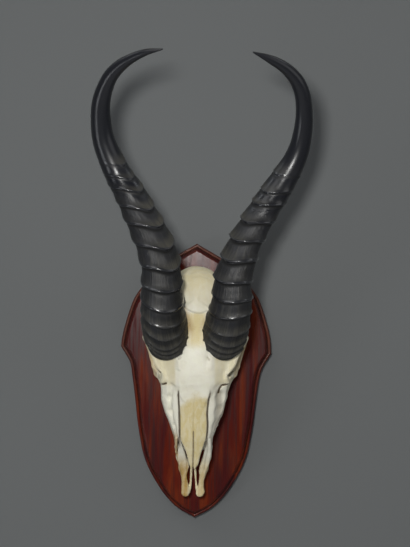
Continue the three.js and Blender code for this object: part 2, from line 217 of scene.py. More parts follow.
class Nodes:
    """Short calls for building one node tree."""

    def __init__(self, tree):
        self.tree = tree

    def add(self, kind, **settings):
        node = self.tree.nodes.new("ShaderNode" + kind)
        for key, value in settings.items():
            setattr(node, key, value)
        return node

    def link(self, source, target):
        self.tree.links.new(source, target)

    def feed(self, socket, value):
        """Sets a socket from another socket, or from a plain number or colour."""
        if hasattr(value, "is_output"):
            self.link(value, socket)
        elif hasattr(value, "__len__") and len(value) == 3 and socket.type == "RGBA":
            socket.default_value = (*value, 1)
        else:
            socket.default_value = value

    def maths(self, operation, a, b):
        node = self.add("Math", operation=operation)
        self.feed(node.inputs[0], a)
        self.feed(node.inputs[1], b)
        return node.outputs[0]

    def times(self, a, b):
        return self.maths("MULTIPLY", a, b)

    def blend(self, factor, a, b):
        node = self.add("Mix", data_type="RGBA", clamp_factor=True)
        self.feed(node.inputs["Factor"], factor)
        self.feed(node.inputs["A"], a)
        self.feed(node.inputs["B"], b)
        return node.outputs["Result"]

    def paint(self, shader, colour, coats):
        """Lays coats over a first colour, given as (how much of it shows, colour), for Base Color."""
        for amount, coat in coats:
            colour = self.blend(amount, colour, coat)
        self.link(colour, shader.inputs["Base Color"])

    def span(self, value, low, high, to_low=0.0, to_high=1.0):
        node = self.add("MapRange", interpolation_type="SMOOTHSTEP")
        for socket, number in zip(node.inputs, (value, low, high, to_low, to_high)):
            self.feed(socket, number)
        return node.outputs["Result"]

    def noise(self, vector, scale, detail=3.0, roughness=0.55, distortion=0.0):
        node = self.add("TexNoise")
        names = ("Vector", "Scale", "Detail", "Roughness", "Distortion")
        for name, value in zip(names, (vector, scale, detail, roughness, distortion)):
            self.feed(node.inputs[name], value)
        return node.outputs["Fac"]

    def stretch(self, vector, by):
        node = self.add("VectorMath", operation="MULTIPLY")
        self.feed(node.inputs[0], vector)
        self.feed(node.inputs[1], by)
        return node.outputs[0]

    def mask(self, name):
        return self.add("Attribute", attribute_name=name).outputs["Fac"]


def new_group(name, inputs, outputs):
    """A shader node group with named sockets; returns it with its own input and output nodes."""
    tree = bpy.data.node_groups.new(name, "ShaderNodeTree")
    for socket, kind, value in inputs:
        made = tree.interface.new_socket(socket, in_out="INPUT", socket_type="NodeSocket" + kind)
        if value is not None:
            made.default_value = value
    for socket, kind in outputs:
        tree.interface.new_socket(socket, in_out="OUTPUT", socket_type="NodeSocket" + kind)
    kit = Nodes(tree)
    return tree, kit, tree.nodes.new("NodeGroupInput"), tree.nodes.new("NodeGroupOutput")


def make_fine_grain():
    """Small pores and scratches: a height for a bump and a mask for the low spots."""
    tree, kit, given, result = new_group(
        "fine_grain",
        [("Vector", "Vector", None), ("Scale", "Float", 900.0), ("Stretch", "Vector", (1, 1, 1))],
        [("Height", "Float"), ("Low Spots", "Float")],
    )
    where = kit.stretch(given.outputs["Vector"], given.outputs["Stretch"])
    fine = kit.noise(where, given.outputs["Scale"], 4.0, 0.65)
    kit.link(fine, result.inputs["Height"])
    kit.link(kit.span(fine, 0.5, 0.32), result.inputs["Low Spots"])
    return tree


def make_blotches():
    """Broad uneven tone, from 0 to 1."""
    tree, kit, given, result = new_group(
        "blotches",
        [("Vector", "Vector", None), ("Scale", "Float", 40.0), ("Stretch", "Vector", (1, 1, 1)),
         ("Low", "Float", 0.35), ("High", "Float", 0.65)],
        [("Tone", "Float")],
    )
    where = kit.stretch(given.outputs["Vector"], given.outputs["Stretch"])
    soft = kit.noise(where, given.outputs["Scale"], 3.0, 0.6, 0.4)
    kit.link(kit.span(soft, given.outputs["Low"], given.outputs["High"]), result.inputs["Tone"])
    return tree


GROUPS = {}


def use_group(kit, name, **values):
    """Places a shader group with its own values; returns the node."""
    node = kit.add("Group", node_tree=GROUPS[name])
    for key, value in values.items():
        kit.feed(node.inputs[key.replace("_", " ")], value)
    return node


def new_surface(name, roughness, specular, coat_roughness=0.1):
    material = bpy.data.materials.new(name)
    material.use_nodes = True
    kit = Nodes(material.node_tree)
    shader = material.node_tree.nodes["Principled BSDF"]
    shader.inputs["Roughness"].default_value = roughness
    shader.inputs["Specular IOR Level"].default_value = specular
    shader.inputs["Coat Roughness"].default_value = coat_roughness
    where = kit.add("TexCoord").outputs["Object"]
    return material, kit, shader, where


def add_bump(kit, shader, layers):
    """Stacks bumps, given as (height, strength, distance in metres), and feeds the last to the shader."""
    normal = None
    for height, strength, distance in layers:
        bump = kit.add("Bump")
        bump.inputs["Strength"].default_value = strength
        bump.inputs["Distance"].default_value = distance
        kit.feed(bump.inputs["Height"], height)
        if normal is not None:
            kit.link(normal, bump.inputs["Normal"])
        normal = bump.outputs["Normal"]
    kit.link(normal, shader.inputs["Normal"])


# ------------------------------------------------------------------ materials


def mahogany_material():
    """Red and orange wood with plum bands and fine dark pores, under lacquer; a painted highlight on the
    bead, and painted shade in the cove and along the outer edge.
    """
    material, kit, shader, where = new_surface("lacquered_mahogany", 0.22, 0.13)
    grain = kit.noise(kit.stretch(where, (1, 1, 0.045)), 380.0, 5.0, 0.6, 0.5)
    bands = kit.noise(kit.stretch(where, (1, 1, 0.14)), 120.0, 2.0, 0.5, 0.7)
    plum_bands = kit.noise(kit.stretch(where, (1, 1, 0.1)), 75.0, 2.0, 0.5, 0.4)
    pores = use_group(kit, "fine_grain", Vector=where, Scale=1500.0, Stretch=(1, 1, 0.03))
    dark, plum = (0.018, 0.0025, 0.002), (0.054, 0.007, 0.008)
    red, orange = (0.098, 0.011, 0.005), (0.14, 0.022, 0.007)
    wear_and_highlight, cove_shade = (0.105, 0.04, 0.025), (0.008, 0.003, 0.002)
    kit.paint(shader, red, [
        (kit.span(bands, 0.38, 0.62), orange),
        (kit.span(plum_bands, 0.42, 0.6, 0.0, 0.9), plum),
        (kit.span(grain, 0.56, 0.36, 0.0, 0.6), dark),
        (kit.times(pores.outputs["Low Spots"], 0.4), dark),
        # painted highlight on the bead, fading towards the point
        (kit.mask("bead"), wear_and_highlight),
        # painted shade in the cove and on the outer edge
        (kit.mask("groove_shade"), cove_shade),
    ])
    kit.link(kit.span(grain, 0.32, 0.68, 0.33, 0.16), shader.inputs["Roughness"])
    add_bump(kit, shader, [(grain, 0.12, 0.0004), (pores.outputs["Height"], 0.12, 0.0003)])
    return material


def bone_material():
    """Ivory bone with chalky and tan patches and stains, painted shade in hollows and along a few lines, and
    a painted shadow beside the horns.
    """
    material, kit, shader, where = new_surface("bleached_bone", 0.5, 0.35)
    tone = use_group(kit, "blotches", Vector=where, Scale=55.0, Low=0.35, High=0.7)
    mottle = use_group(kit, "blotches", Vector=where, Scale=210.0, Low=0.3, High=0.7)
    grain = use_group(kit, "fine_grain", Vector=where, Scale=1100.0)
    strands = use_group(kit, "fine_grain", Vector=where, Scale=900.0, Stretch=(1, 1, 0.12))
    streaks = use_group(kit, "blotches", Vector=where, Scale=260.0, Stretch=(1, 1, 0.1), Low=0.35, High=0.65)
    edges = kit.noise(where, 260.0, 3.0, 0.6)
    ivory, chalk, blush = (0.80, 0.79, 0.66), (0.72, 0.69, 0.55), (0.78, 0.74, 0.68)
    tan, straw = (0.61, 0.505, 0.25), (0.67, 0.565, 0.29)
    stain_and_shadow, crack_and_shade, hollow_shade = (0.38, 0.235, 0.06), (0.09, 0.055, 0.032), (0.09, 0.06, 0.03)
    streaky = kit.span(streaks.outputs["Tone"], 0, 1, 0.72, 1.0)

    def ragged(mask, low, high, shake):
        """A mask with an uneven edge."""
        shaken = kit.maths("ADD", kit.mask(mask), kit.span(edges, 0, 1, -shake, shake))
        return kit.span(shaken, low, high)

    kit.paint(shader, ivory, [
        (tone.outputs["Tone"], chalk),
        (kit.times(mottle.outputs["Tone"], 0.35), blush),
        (kit.times(kit.mask("cream"), streaky), straw),
        (kit.times(ragged("tan", 0.05, 0.95, 0.3), streaky), tan),
        # stains, and a painted shadow beside the horns
        (kit.times(kit.mask("stain_and_shadow"), streaky), stain_and_shadow),
        # seams, and lines of painted shade
        (kit.mask("seam_and_shade"), crack_and_shade),
        # painted shade in hollows and eye sockets
        (kit.mask("hollow"), hollow_shade),
        (kit.times(grain.outputs["Low Spots"], 0.3), chalk),
    ])
    kit.link(kit.span(tone.outputs["Tone"], 0, 1, 0.42, 0.58), shader.inputs["Roughness"])
    bumps = [(mottle.outputs["Tone"], 0.25, 0.0006), (grain.outputs["Height"], 0.25, 0.0003)]
    add_bump(kit, shader, [*bumps, (strands.outputs["Height"], 0.25, 0.0004)])
    return material


def horn_material():
    """Black horn, fibrous and dusty between the rings and polished on them, with painted shade under each
    ring.
    """
    material, kit, shader, _ = new_surface("dark_horn", 0.3, 0.5, 0.2)
    along = kit.add("Attribute", attribute_name="fibre").outputs["Vector"]
    fibres = use_group(kit, "fine_grain", Vector=along, Scale=1000.0, Stretch=(1, 1, 0.02))
    tone = use_group(kit, "blotches", Vector=along, Scale=60.0, Stretch=(1, 1, 0.25), Low=0.35, High=0.7)
    old, rough, groove_shade = kit.mask("dust"), kit.mask("rough"), kit.mask("groove_shade")
    black, slate, dust = (0.0085, 0.0093, 0.0125), (0.0065, 0.0065, 0.0062), (0.058, 0.054, 0.041)
    strand, shade = (0.031, 0.03, 0.026), (0.003, 0.003, 0.003)
    ridged = kit.times(kit.span(fibres.outputs["Height"], 0.5, 0.68), rough)
    patchy = kit.span(fibres.outputs["Height"], 0.35, 0.6, 0.3, 1.0)
    kit.paint(shader, black, [
        (kit.times(tone.outputs["Tone"], rough), slate),
        (kit.times(ridged, 0.8), strand),
        (kit.times(old, patchy), dust),
        # painted shade in the undercut under each crest
        (groove_shade, shade),
    ])
    dull = kit.maths("ADD", kit.times(old, 0.3), kit.times(groove_shade, 0.4))
    satin = kit.times(kit.mask("satin"), 0.08)
    sheen = kit.maths("ADD", kit.span(rough, 0, 1, 0.22, 0.46), satin)
    kit.link(kit.mask("polish"), shader.inputs["Coat Weight"])
    kit.link(kit.maths("ADD", sheen, dull), shader.inputs["Roughness"])
    height = kit.times(fibres.outputs["Height"], rough)
    add_bump(kit, shader, [(height, 0.7, 0.0009)])
    return material


# ------------------------------------------------------------------ shield

SHIELD_HALF_HEIGHT = 130.0
SHIELD_THICKNESS = 20.0
# the outline's points on one side as (across, height), from the peak to the point; the undercut of
# an ear is counted from the ear's tip
PEAK_SLOPE_END = (22.7, 117)
SHOULDER = [(39.5, 104), (53.4, 86.6), (59.3, 77.5), (66, 58.5), (70.3, 41)]
EAR_REACH = 71.5
EAR_HEIGHT = {1: 26.0, -1: 32.0}
EAR_UNDERCUT = [(-6, -9.5), (-9, -15.5)]
FLANK = [(60, 1), (57.5, -18), (54, -46.5), (47.7, -75), (36, -98), (25.5, -112.3), (15, -121.8)]
OUTLINE_STEP = 1.5
# a turn sharper than this is a corner, and its neighbours slide away from it within this reach
CORNER_TURN, CORNER_REACH = math.radians(14), 16.0
CREASE_ANGLE = math.radians(40)
# how strong the painted highlight on the bead is
BEAD_HIGHLIGHT = 0.8


def evenly(points, step):
    """The same open line with points about "step" apart."""
    p = np.asarray(points, float)
    reach = np.concatenate([[0], np.cumsum(np.linalg.norm(np.diff(p, axis=0), axis=1))])
    wanted = np.linspace(0, reach[-1], max(2, round(reach[-1] / step)))
    return np.column_stack([np.interp(wanted, reach, p[:, i]) for i in range(2)])


def half_outline(side):
    """One side of the shield's outline, from the peak down to the point, as (x, height)."""
    ear = (EAR_REACH, EAR_HEIGHT[side])
    undercut = [(ear[0] + dx, ear[1] + dz) for dx, dz in EAR_UNDERCUT]
    stretches = [
        [(0, SHIELD_HALF_HEIGHT), PEAK_SLOPE_END],
        spline([PEAK_SLOPE_END, *SHOULDER, ear], 120),
        [ear, undercut[0]],
        spline([undercut[0], undercut[1], *FLANK, (0, -SHIELD_HALF_HEIGHT)], 200),
    ]
    line = np.vstack([evenly(stretch, OUTLINE_STEP)[:-1] for stretch in stretches])
    line = np.vstack([line, (0, -SHIELD_HALF_HEIGHT)])
    return line * (side, 1)


def inset(outline, distance):
    """The closed outline moved inwards; its points are clockwise as seen from the front.  Near a
    sharp corner the points also slide away from it, so that they never cross."""
    edges = np.roll(outline, -1, axis=0) - outline
    lengths = np.linalg.norm(edges, axis=1)
    after = edges / lengths[:, None]
    before = np.roll(after, 1, axis=0)
    tangent = before + after
    tangent /= np.linalg.norm(tangent, axis=1)[:, None]
    shift = np.column_stack([tangent[:, 1], -tangent[:, 0]])
    turn = np.arctan2(before[:, 1] * after[:, 0] - before[:, 0] * after[:, 1], (before * after).sum(axis=1))
    reach = np.concatenate([[0], np.cumsum(lengths)[:-1]])
    for corner in np.flatnonzero(np.abs(turn) > CORNER_TURN):
        slope = math.tan(turn[corner] / 2)
        away = reach - reach[corner]
        away -= lengths.sum() * np.round(away / lengths.sum())
        slide = np.sign(away) * slope * np.clip(1 - np.abs(away) / CORNER_REACH, 0, 1)
        shift += tangent * slide[:, None]
        shift[corner] *= math.hypot(1, slope)
    return outline + shift * distance


def moulding_profile():
    """The edge from back to front as (inset, depth, groove shade mask, bead highlight mask): a thick outer
    edge and a cove, both with painted shade, a bead painted pale as a highlight, and a raised field."""
    t = SHIELD_THICKNESS
    line = [(0.5, 0, 0.3, 0), (0.15, 0.3, 0.4, 0), (0, 0.9, 0.5, 0), (0, 10.6, 0.6, 0)]
    for i in range(9):
        angle = math.pi / 2 * i / 8
        line.append((1.6 - 1.6 * math.cos(angle), 11 + 2.0 * math.sin(angle), 0.5 * (1 - i / 8), i / 8))
    line += [(2.4, 12.9, 0.0, 1), (3.0, 12.5, 0.6, 0.2)]
    for i in range(8):
        angle = math.pi / 2 * i / 7
        across, rise = 3.3 + 1.9 * (1 - math.cos(angle)), 12.6 + 5.2 * math.sin(angle)
        line.append((across, rise, 0.9 - 0.8 * i / 7, 0))
    line += [(5.35, 18.6, 0.1, 0), (5.5, t - 0.7, 0, 0.2), (5.9, t - 0.15, 0, 0.3), (6.4, t, 0, 0)]
    return line


def make_shield(material):
    """The moulded edge, swept round the outline, with a flat field in front and a flat back."""
    outline = np.vstack([half_outline(1), half_outline(-1)[1:-1][::-1]])
    count = len(outline)
    profile = moulding_profile()
    points, groove_shade, bead = [], [], []
    # the bead's painted highlight fades out towards the point, where less light falls
    wear_and_highlight = smoothstep(outline[:, 1], -40, 60)
    for step, depth, groove_shade_mask, bead_mask in profile:
        points += [(x, depth, z) for x, z in inset(outline, step)]
        groove_shade += [groove_shade_mask] * count
        bead += (bead_mask * wear_and_highlight * BEAD_HIGHLIGHT).tolist()
    faces = ring_faces(len(profile), count, closed_ends=False)
    moulded = len(faces)
    for first, depth, turn in ((0, 0.0, -1), ((len(profile) - 1) * count, SHIELD_THICKNESS, 1)):
        middle = len(points)
        points.append((0, depth, 0))
        groove_shade.append(0.0)
        bead.append(0.0)
        for i in range(count):
            faces.append((first + i, first + (i + 1) % count, middle)[::turn])
    masks = {"groove_shade": groove_shade, "bead": bead}
    piece = new_piece("mahogany_shield", points, faces, masks, material, smooth=False)
    piece.data.set_sharp_from_angle(angle=CREASE_ANGLE)
    piece.data.polygons.foreach_set("use_smooth", np.arange(len(faces)) < moulded)
    return piece


# ------------------------------------------------------------------ horns

# the middle line of each horn as (x, depth, height, half width), from the brow to the tip
LEFT_SPINE = [
    (-25.9, 99, 51, 20.2), (-28.3, 110.5, 65.9, 19), (-29.2, 116, 78.5, 18), (-29.6, 119.5, 95.9, 16.8),
    (-30.9, 121, 111.3, 16.5), (-36.7, 121.5, 128.8, 15.8), (-47.1, 122, 150.2, 14.4),
    (-57.2, 122.6, 169.9, 13.3), (-67.2, 123.9, 185.9, 11.8), (-74.3, 127.3, 200.5, 10.9),
    (-79.6, 132.7, 215.6, 9.9), (-81.3, 140.3, 231.2, 9), (-80.4, 148.1, 244.1, 8.2),
    (-76.7, 155.7, 255.1, 7.2), (-70.8, 163.6, 264.6, 6.4), (-61.7, 171.5, 272.1, 5.4),
    (-52.1, 178.3, 276.6, 4.2), (-41.1, 185.1, 279.8, 3), (-27.8, 190, 281.4, 0.9),
]
RIGHT_SPINE = [
    (25.8, 99.4, 51.5, 20.2), (29, 110.5, 65.9, 18.6), (31, 116.1, 79.1, 17.4), (31.9, 119.7, 98.2, 15.9),
    (36.3, 121.1, 112.8, 15.2), (40.5, 121.4, 125.7, 14.1), (49.9, 121.9, 143.8, 13.4),
    (59.1, 122.3, 159.3, 13.1), (68, 122.8, 172.8, 12.7), (76.2, 123.9, 186, 11.7),
    (82.1, 126.2, 196.6, 10.5), (86.9, 130, 208.6, 9.4), (89.6, 136.1, 222.8, 8.5), (89.9, 143.7, 237, 7.6),
    (87.8, 152.3, 250.4, 7), (82.7, 160.3, 260.9, 6.4), (72.9, 169, 270, 5.3), (59.7, 177.3, 276.1, 3.9),
    (44.6, 186.6, 280.3, 0.9),
]
# where each ring stands on the front of the horn, as a length along the middle line
LEFT_RINGS = [3.6, 6.9, 10.7, 17.2, 24.0, 32.2, 45.2, 62.3, 81.5, 102, 118, 136, 149.5, 162]
RIGHT_RINGS = [4.1, 8.0, 12.8, 19.0, 28.0, 36.3, 51.0, 69.5, 88, 106.5, 124.8, 137.4, 155.6]
# a ring this far from the next one stands out in full; closer ones less, but never below the share
RING_HEIGHT, FULL_GAP, LEAST_RELIEF = 3.2, 15.0, 0.78
# rings flatten by a share between two lengths
AGEING, AGED_SHARE = (80, 155), 0.72
# ridges go all round and are highest on the front; lips replace part of them on the inner side
SIDE_RIDGE, FRONT_RIDGE, LIP_SHARE, LIP_RIDGE = 0.3, 0.46, 0.8, 0.3
WOBBLE_HEIGHT, WOBBLE_TWIST, WOBBLE_START = 0.4, 0.04, 30
# the cross-section leans at the brow and is square to the horn from the turn length on
BASE_TILT, TURN_LENGTH = math.radians(12), 38.0
# its depth in front and behind as a share of its half width, at the brow and from the round length on
FRONT_SHARE, BACK_SHARE, ROUND_LENGTH = (1.3, 1.0), (1.07, 1.0), 188.0
SKIN_MARGIN = 0.35
HORN_SIDES, RINGED_STEP, TIP_ROWS = 136, 0.34, 120
SPINE_SAMPLES, PROFILE_SAMPLES, TABLE_SAMPLES = 1200, 600, 400
# rows of the hem: size against the sheath's lower edge, and shift across, towards the wall and up
HEM = [(0.84, (0, -6.0, 3.5)), (0.88, (0, 0, 0)), (0.97, (0, 0, 0))]
# lengths before the first ring and beyond the last one, where the relief starts and has died away
BEFORE_RINGS, BEYOND_RINGS, RINGED_SPARE = 3.0, 22.0, 2.0
FIBRE_RADIUS = 0.016
# the planes that the rings lie in: steep at the brow, nearly level higher up
RING_PLANE_LOW = {-1: (-0.03, -0.92, 0.32), 1: (0.2, -0.92, 0.457)}
RING_PLANE_HIGH = {-1: (0.11, -0.5, 0.94), 1: (0.05, -0.3, 0.94)}
RING_PLANE_TURN = {-1: 29.7, 1: 33.0}
RING_SKEW = {-1: 0.0, 1: 0.5}
# how far each ring departs from its plane at the sides, at the brow and higher up
RING_BOW = {-1: (-4.1, 6.2), 1: (-1.8, 3.9)}
LEDGE_DUST = {-1: 1.1, 1: 0.5}
# height of the surface from one ring up to the next: on the front, and on the inner side
RIDGE = [(0, 1), (0.025, 0.98), (0.06, 0.84), (0.11, 0.55), (0.17, 0.28), (0.26, 0.08), (0.4, -0.04),
         (0.58, -0.08), (0.74, -0.14), (0.83, -0.2), (0.875, -0.1), (0.92, 0.42), (0.955, 0.82),
         (0.98, 0.97), (1, 1)]
LIP = [(0, 1), (0.025, 0.9), (0.08, 0.68), (0.2, 0.46), (0.42, 0.2), (0.7, -0.08), (0.88, -0.36),
       (0.955, -0.4), (0.98, 0.45), (1, 1)]


def unit(v):
    return v / np.linalg.norm(v)


class Spine:
    """The middle line of a horn, and the cross-section's directions at any length along it."""

    def __init__(self, points, side):
        self.curve = spline(points, SPINE_SAMPLES)
        self.line = self.curve[:, :3] * (1, -1, 1)
        steps = np.linalg.norm(np.diff(self.line, axis=0), axis=1)
        self.reach = np.concatenate([[0], np.cumsum(steps)])
        self.total = self.reach[-1]
        self.tangents = np.gradient(self.line, self.reach, axis=0)
        self.base_normal = np.array([side * math.sin(BASE_TILT), -math.cos(BASE_TILT), 0])

    def frames(self, lengths):
        """Centre, across, towards the back, half width and tangent at each length."""
        across = np.array([1.0, 0, 0])
        for length in lengths:
            centre = np.array([np.interp(length, self.reach, self.line[:, i]) for i in range(3)])
            tangent = unit(np.array([np.interp(length, self.reach, self.tangents[:, i]) for i in range(3)]))
            turned = math.sin(min(1, length / TURN_LENGTH) * math.pi / 2)
            angle = math.acos(float(np.clip(self.base_normal @ tangent, -1, 1)))
            parts = math.sin((1 - turned) * angle), math.sin(turned * angle)
            normal = unit(parts[0] * self.base_normal + parts[1] * tangent)
            across = unit(across - (across @ normal) * normal)
            half_width = np.interp(length, self.reach, self.curve[:, 3])
            yield centre, across, np.cross(normal, across), half_width, tangent


def profile_table(knots):
    """A profile's curve as two rows, for np.interp."""
    curve = spline([(t, h, 0) for t, h in knots], PROFILE_SAMPLES)
    shares = np.linspace(0, 1, TABLE_SAMPLES)
    return shares, np.interp(shares, curve[:, 0], curve[:, 1])


RIDGE_TABLE, LIP_TABLE = profile_table(RIDGE), profile_table(LIP)


def ring_relief(position, rings, inner, front):
    """How far the surface stands out at a place along the horn, how far up from its ring it is, and
    how strong that ring is."""
    crests = np.array([-BEFORE_RINGS, *rings, rings[-1] + BEYOND_RINGS])
    index = np.clip(np.searchsorted(crests, position, side="right") - 1, 0, len(crests) - 2)
    low, high = crests[index], crests[index + 1]
    gap = high - low
    up = np.clip((position - low) / gap, 0, 1)

    def strength(crest):
        age = 1 - AGED_SHARE * smoothstep(crest, *AGEING)
        return RING_HEIGHT * age * np.clip(gap / FULL_GAP, LEAST_RELIEF, 1) * (crest < rings[-1] + 1)

    def fading(crest):
        return 1 - 0.9 * smoothstep(crest, rings[-2] - 6, rings[-1] - 2)

    ridge = np.interp(up, *RIDGE_TABLE)
    lip = np.interp(up, *LIP_TABLE)
    next_one = smoothstep(up, 0.55, 0.9)
    amount = mix(strength(low), strength(high), next_one)
    kept = mix(fading(low), fading(high), next_one)
    lipped = inner * smoothstep(position, 22, 50)
    ridged = kept * (SIDE_RIDGE + FRONT_RIDGE * front) * ridge
    height = amount * (ridged + lipped * (LIP_SHARE * lip - LIP_RIDGE * ridge))
    beyond = position > crests[-1]
    return np.where(beyond, 0, height), up, np.where(beyond, 0, amount)


def skin_normals(rows):
    """The outward direction at each point of a swept skin, given as rows of points."""
    round_it = np.roll(rows, -1, axis=1) - np.roll(rows, 1, axis=1)
    along = np.gradient(rows, axis=0)
    normal = np.cross(round_it, along)
    normal /= np.linalg.norm(normal, axis=2)[:, :, None] + 1e-9
    outward = rows - rows.mean(axis=1)[:, None]
    return normal * np.sign((normal * outward).sum(axis=2))[:, :, None]


def horn_masks(position, up, strength, inner, rings, side):
    """Dust, roughness, polish and painted shade under the crests round one row of a horn."""
    strong = strength / RING_HEIGHT
    shelf = smoothstep(up, 0.6, 0.16) * smoothstep(up, 0.03, 0.1) * np.clip(2 * strong, 0, 1)
    ledge = shelf * (0.12 + LEDGE_DUST[side] * inner ** 0.7 * smoothstep(position, 40, 70))
    low_crest = smoothstep(position, 36, 16) * smoothstep(up, 0.6, 0.25) * 0.5
    under = smoothstep(up, 0.72, 0.87) * smoothstep(up, 0.955, 0.915)
    wear_and_highlight = np.maximum(smoothstep(up, 0.16, 0.06), smoothstep(up, 0.93, 0.97)) * 0.85
    crest = np.maximum(smoothstep(up, 0.13, 0.05), smoothstep(up, 0.94, 0.975))
    return {
        "dust": np.clip(ledge + low_crest, 0, 1),
        "rough": (1 - smoothstep(position, rings[-5], rings[-2])) * (1 - wear_and_highlight),
        # painted shade where the undercut under each crest faces down
        "groove_shade": under * np.clip(strong * 2.2, 0, 1),
        "satin": smoothstep(position, rings[-3], rings[-1]),
        "polish": crest * np.clip(strong * 1.6, 0, 1),
    }


def ring_offset(from_front, length, half, angle, front, side):
    """How far up or down its ring has moved at each angle, and the direction of the ring's plane."""
    low_plane, high_plane = (unit(np.array(planes[side])) for planes in (RING_PLANE_LOW, RING_PLANE_HIGH))
    plane = unit(mix(low_plane, high_plane, float(smoothstep(length, 0, RING_PLANE_TURN[side]))))
    turned_in = (angle + math.pi / 2) * -side
    skew = RING_SKEW[side] * half / 16 * np.sin(2 * turned_in) * front
    bow = mix(*RING_BOW[side], float(smoothstep(length, 10, 60))) * half / 16 * np.cos(angle) ** 2 * front
    return from_front @ plane + skew * plane[2] + bow, plane


def with_hem(skin):
    """Rows that turn in under the sheath's lower edge and up round the bone, before the skin's own."""
    middle = skin[0].mean(axis=0)
    hem = [middle + (skin[0] - middle) * size + shift for size, shift in HEM]
    return [*hem, *skin], len(hem)


def make_horn(name, points, rings, side, material, seed):
    """A horn sheath: ringed and fibrous below, smooth and polished towards the tip."""
    spine = Spine(points, side)
    ringed = rings[-1] + BEYOND_RINGS + RINGED_SPARE
    lengths = np.concatenate([np.arange(0, ringed, RINGED_STEP), np.linspace(ringed, spine.total, TIP_ROWS)])
    angle = np.linspace(0, 2 * math.pi, HORN_SIDES, endpoint=False)
    rng = np.random.default_rng(seed)
    waves = [(k, rng.uniform(0, 2 * math.pi), rng.uniform(0.4, 1) / k) for k in (1, 2, 3, 4, 6)]
    inner = np.clip(-side * np.cos(angle), 0, 1) ** 1.6
    front = np.clip(-np.sin(angle), 0, 1)
    turn = np.column_stack([np.cos(angle), np.sin(angle)]) * FIBRE_RADIUS
    skin, relief, fibre, row_masks = [], [], [], []
    for length, (centre, across, back, half, tangent) in zip(lengths, spine.frames(lengths)):
        ripe = min(1, length / ROUND_LENGTH)
        share = np.where(np.sin(angle) < 0, mix(*FRONT_SHARE, ripe), mix(*BACK_SHARE, ripe))
        reach = half * (np.outer(np.cos(angle), across) + np.outer(np.sin(angle) * share, back))
        foremost = -half * mix(*FRONT_SHARE, ripe) * back
        offset, plane = ring_offset(reach - foremost, length, half, angle, front, side)
        wobble = sum(a * np.sin(k * angle + p + length * WOBBLE_TWIST * k) for k, p, a in waves)
        wobble = WOBBLE_HEIGHT * wobble * min(1, length / WOBBLE_START)
        position = length + offset / (tangent @ plane) + wobble
        height, up, strength = ring_relief(position, rings, inner, front)
        skin.append(centre + reach)
        relief.append(height - SKIN_MARGIN)
        row_masks.append(horn_masks(position, up, strength, inner, rings, side))
        fibre.append(np.column_stack([turn, np.full(HORN_SIDES, length * MM)]))
    skin, fibre = np.array(skin), np.array(fibre, np.float32)
    masks = {key: np.array([row[key] for row in row_masks]) for key in row_masks[0]}
    skin = skin + skin_normals(skin) * np.array(relief)[:, :, None]
    settled = smoothstep(skin_normals(skin)[:, :, 2], 0.45, 0.95) * smoothstep(lengths, 60, 110)[:, None]
    masks["dust"] = np.clip(masks["dust"] + 0.6 * settled, 0, 1)
    rows, added = with_hem(skin)
    masks = {key: np.vstack([value[:1]] * added + [value]).ravel() for key, value in masks.items()}
    faces = ring_faces(len(rows), HORN_SIDES)
    piece = new_piece(name, np.vstack(rows) * (1, -1, 1), faces, masks, material)
    layer = piece.data.attributes.new("fibre", "FLOAT_VECTOR", "POINT")
    layer.data.foreach_set("vector", np.concatenate([fibre[:1]] * added + [fibre]).ravel())
    return piece


# ------------------------------------------------------------------ skull, as one solid field

VOXEL = 0.62
FAR = 8.0
FIELD_LOW, FIELD_HIGH = (-50, 17, -109), (50, 114, 113)
MOST_TRIANGLES = 190000
FACE_CENTRE = -1.2


class BoneField:
    """A grid of distances to the bone's surface, negative inside.  Shapes are added and cut away
    with a rounded join, each only in the part of the grid that it reaches."""

    def __init__(self, low, high, step):
        self.low, self.step = np.array(low, float), step
        counts = [int(math.ceil((b - a) / step)) + 1 for a, b in zip(low, high)]
        self.axes = [low[i] + step * np.arange(counts[i], dtype=np.float32) for i in range(3)]
        self.value = np.full(counts, FAR, np.float32)

    def window(self, low, high):
        """The part of the grid between two corners: its slices and its three axes."""
        spans = []
        for axis, a, b in zip(self.axes, low, high):
            i0 = max(0, int(np.searchsorted(axis, a)) - 1)
            i1 = min(len(axis), int(np.searchsorted(axis, b)) + 1)
            spans.append(slice(i0, max(i0, i1)))
        x, d, z = (axis[s] for axis, s in zip(self.axes, spans))
        return tuple(spans), x[:, None, None], d[None, :, None], z[None, None, :]

    def apply(self, shape, low, high, round_join, cut=False):
        reach = round_join + 3
        spans, x, d, z = self.window([a - reach for a in low], [b + reach for b in high])
        here = self.value[spans]
        if here.size == 0:
            return
        other = shape(x, d, z)
        self.value[spans] = soft_max(here, -other, round_join) if cut else soft_min(here, other, round_join)

    def engrave(self, line, half_width, depth, nearest):
        """Sinks a soft groove along a line drawn on the front, no nearer the wall than "nearest"."""
        corners = np.array(line, float)
        reach = 3 * half_width
        low = (corners[:, 0].min() - reach, nearest, corners[:, 1].min() - reach)
        high = (corners[:, 0].max() + reach, self.axes[1][-1], corners[:, 1].max() + reach)
        spans, x, _, z = self.window(low, high)
        gap = line_distance(corners, x, z)
        self.value[spans] += (depth * np.exp(-((gap / half_width) ** 2))).astype(np.float32)


def edge_gap2(ax, az, ex, ez, x, z):
    """Squared distance, across and up, to the edge that starts at (ax, az) and runs by (ex, ez)."""
    t = np.clip(((x - ax) * ex + (z - az) * ez) / (ex * ex + ez * ez), 0, 1)
    return (x - ax - t * ex) ** 2 + (z - az - t * ez) ** 2


def line_distance(line, x, z):
    """Distance, across and up, to an open line."""
    corners = np.array(line, float)
    nearest = np.full(np.broadcast(x, z).shape, 1e9)
    for (ax, az), (ex, ez) in zip(corners[:-1], np.diff(corners, axis=0)):
        nearest = np.minimum(nearest, edge_gap2(ax, az, ex, ez, x, z))
    return np.sqrt(nearest)


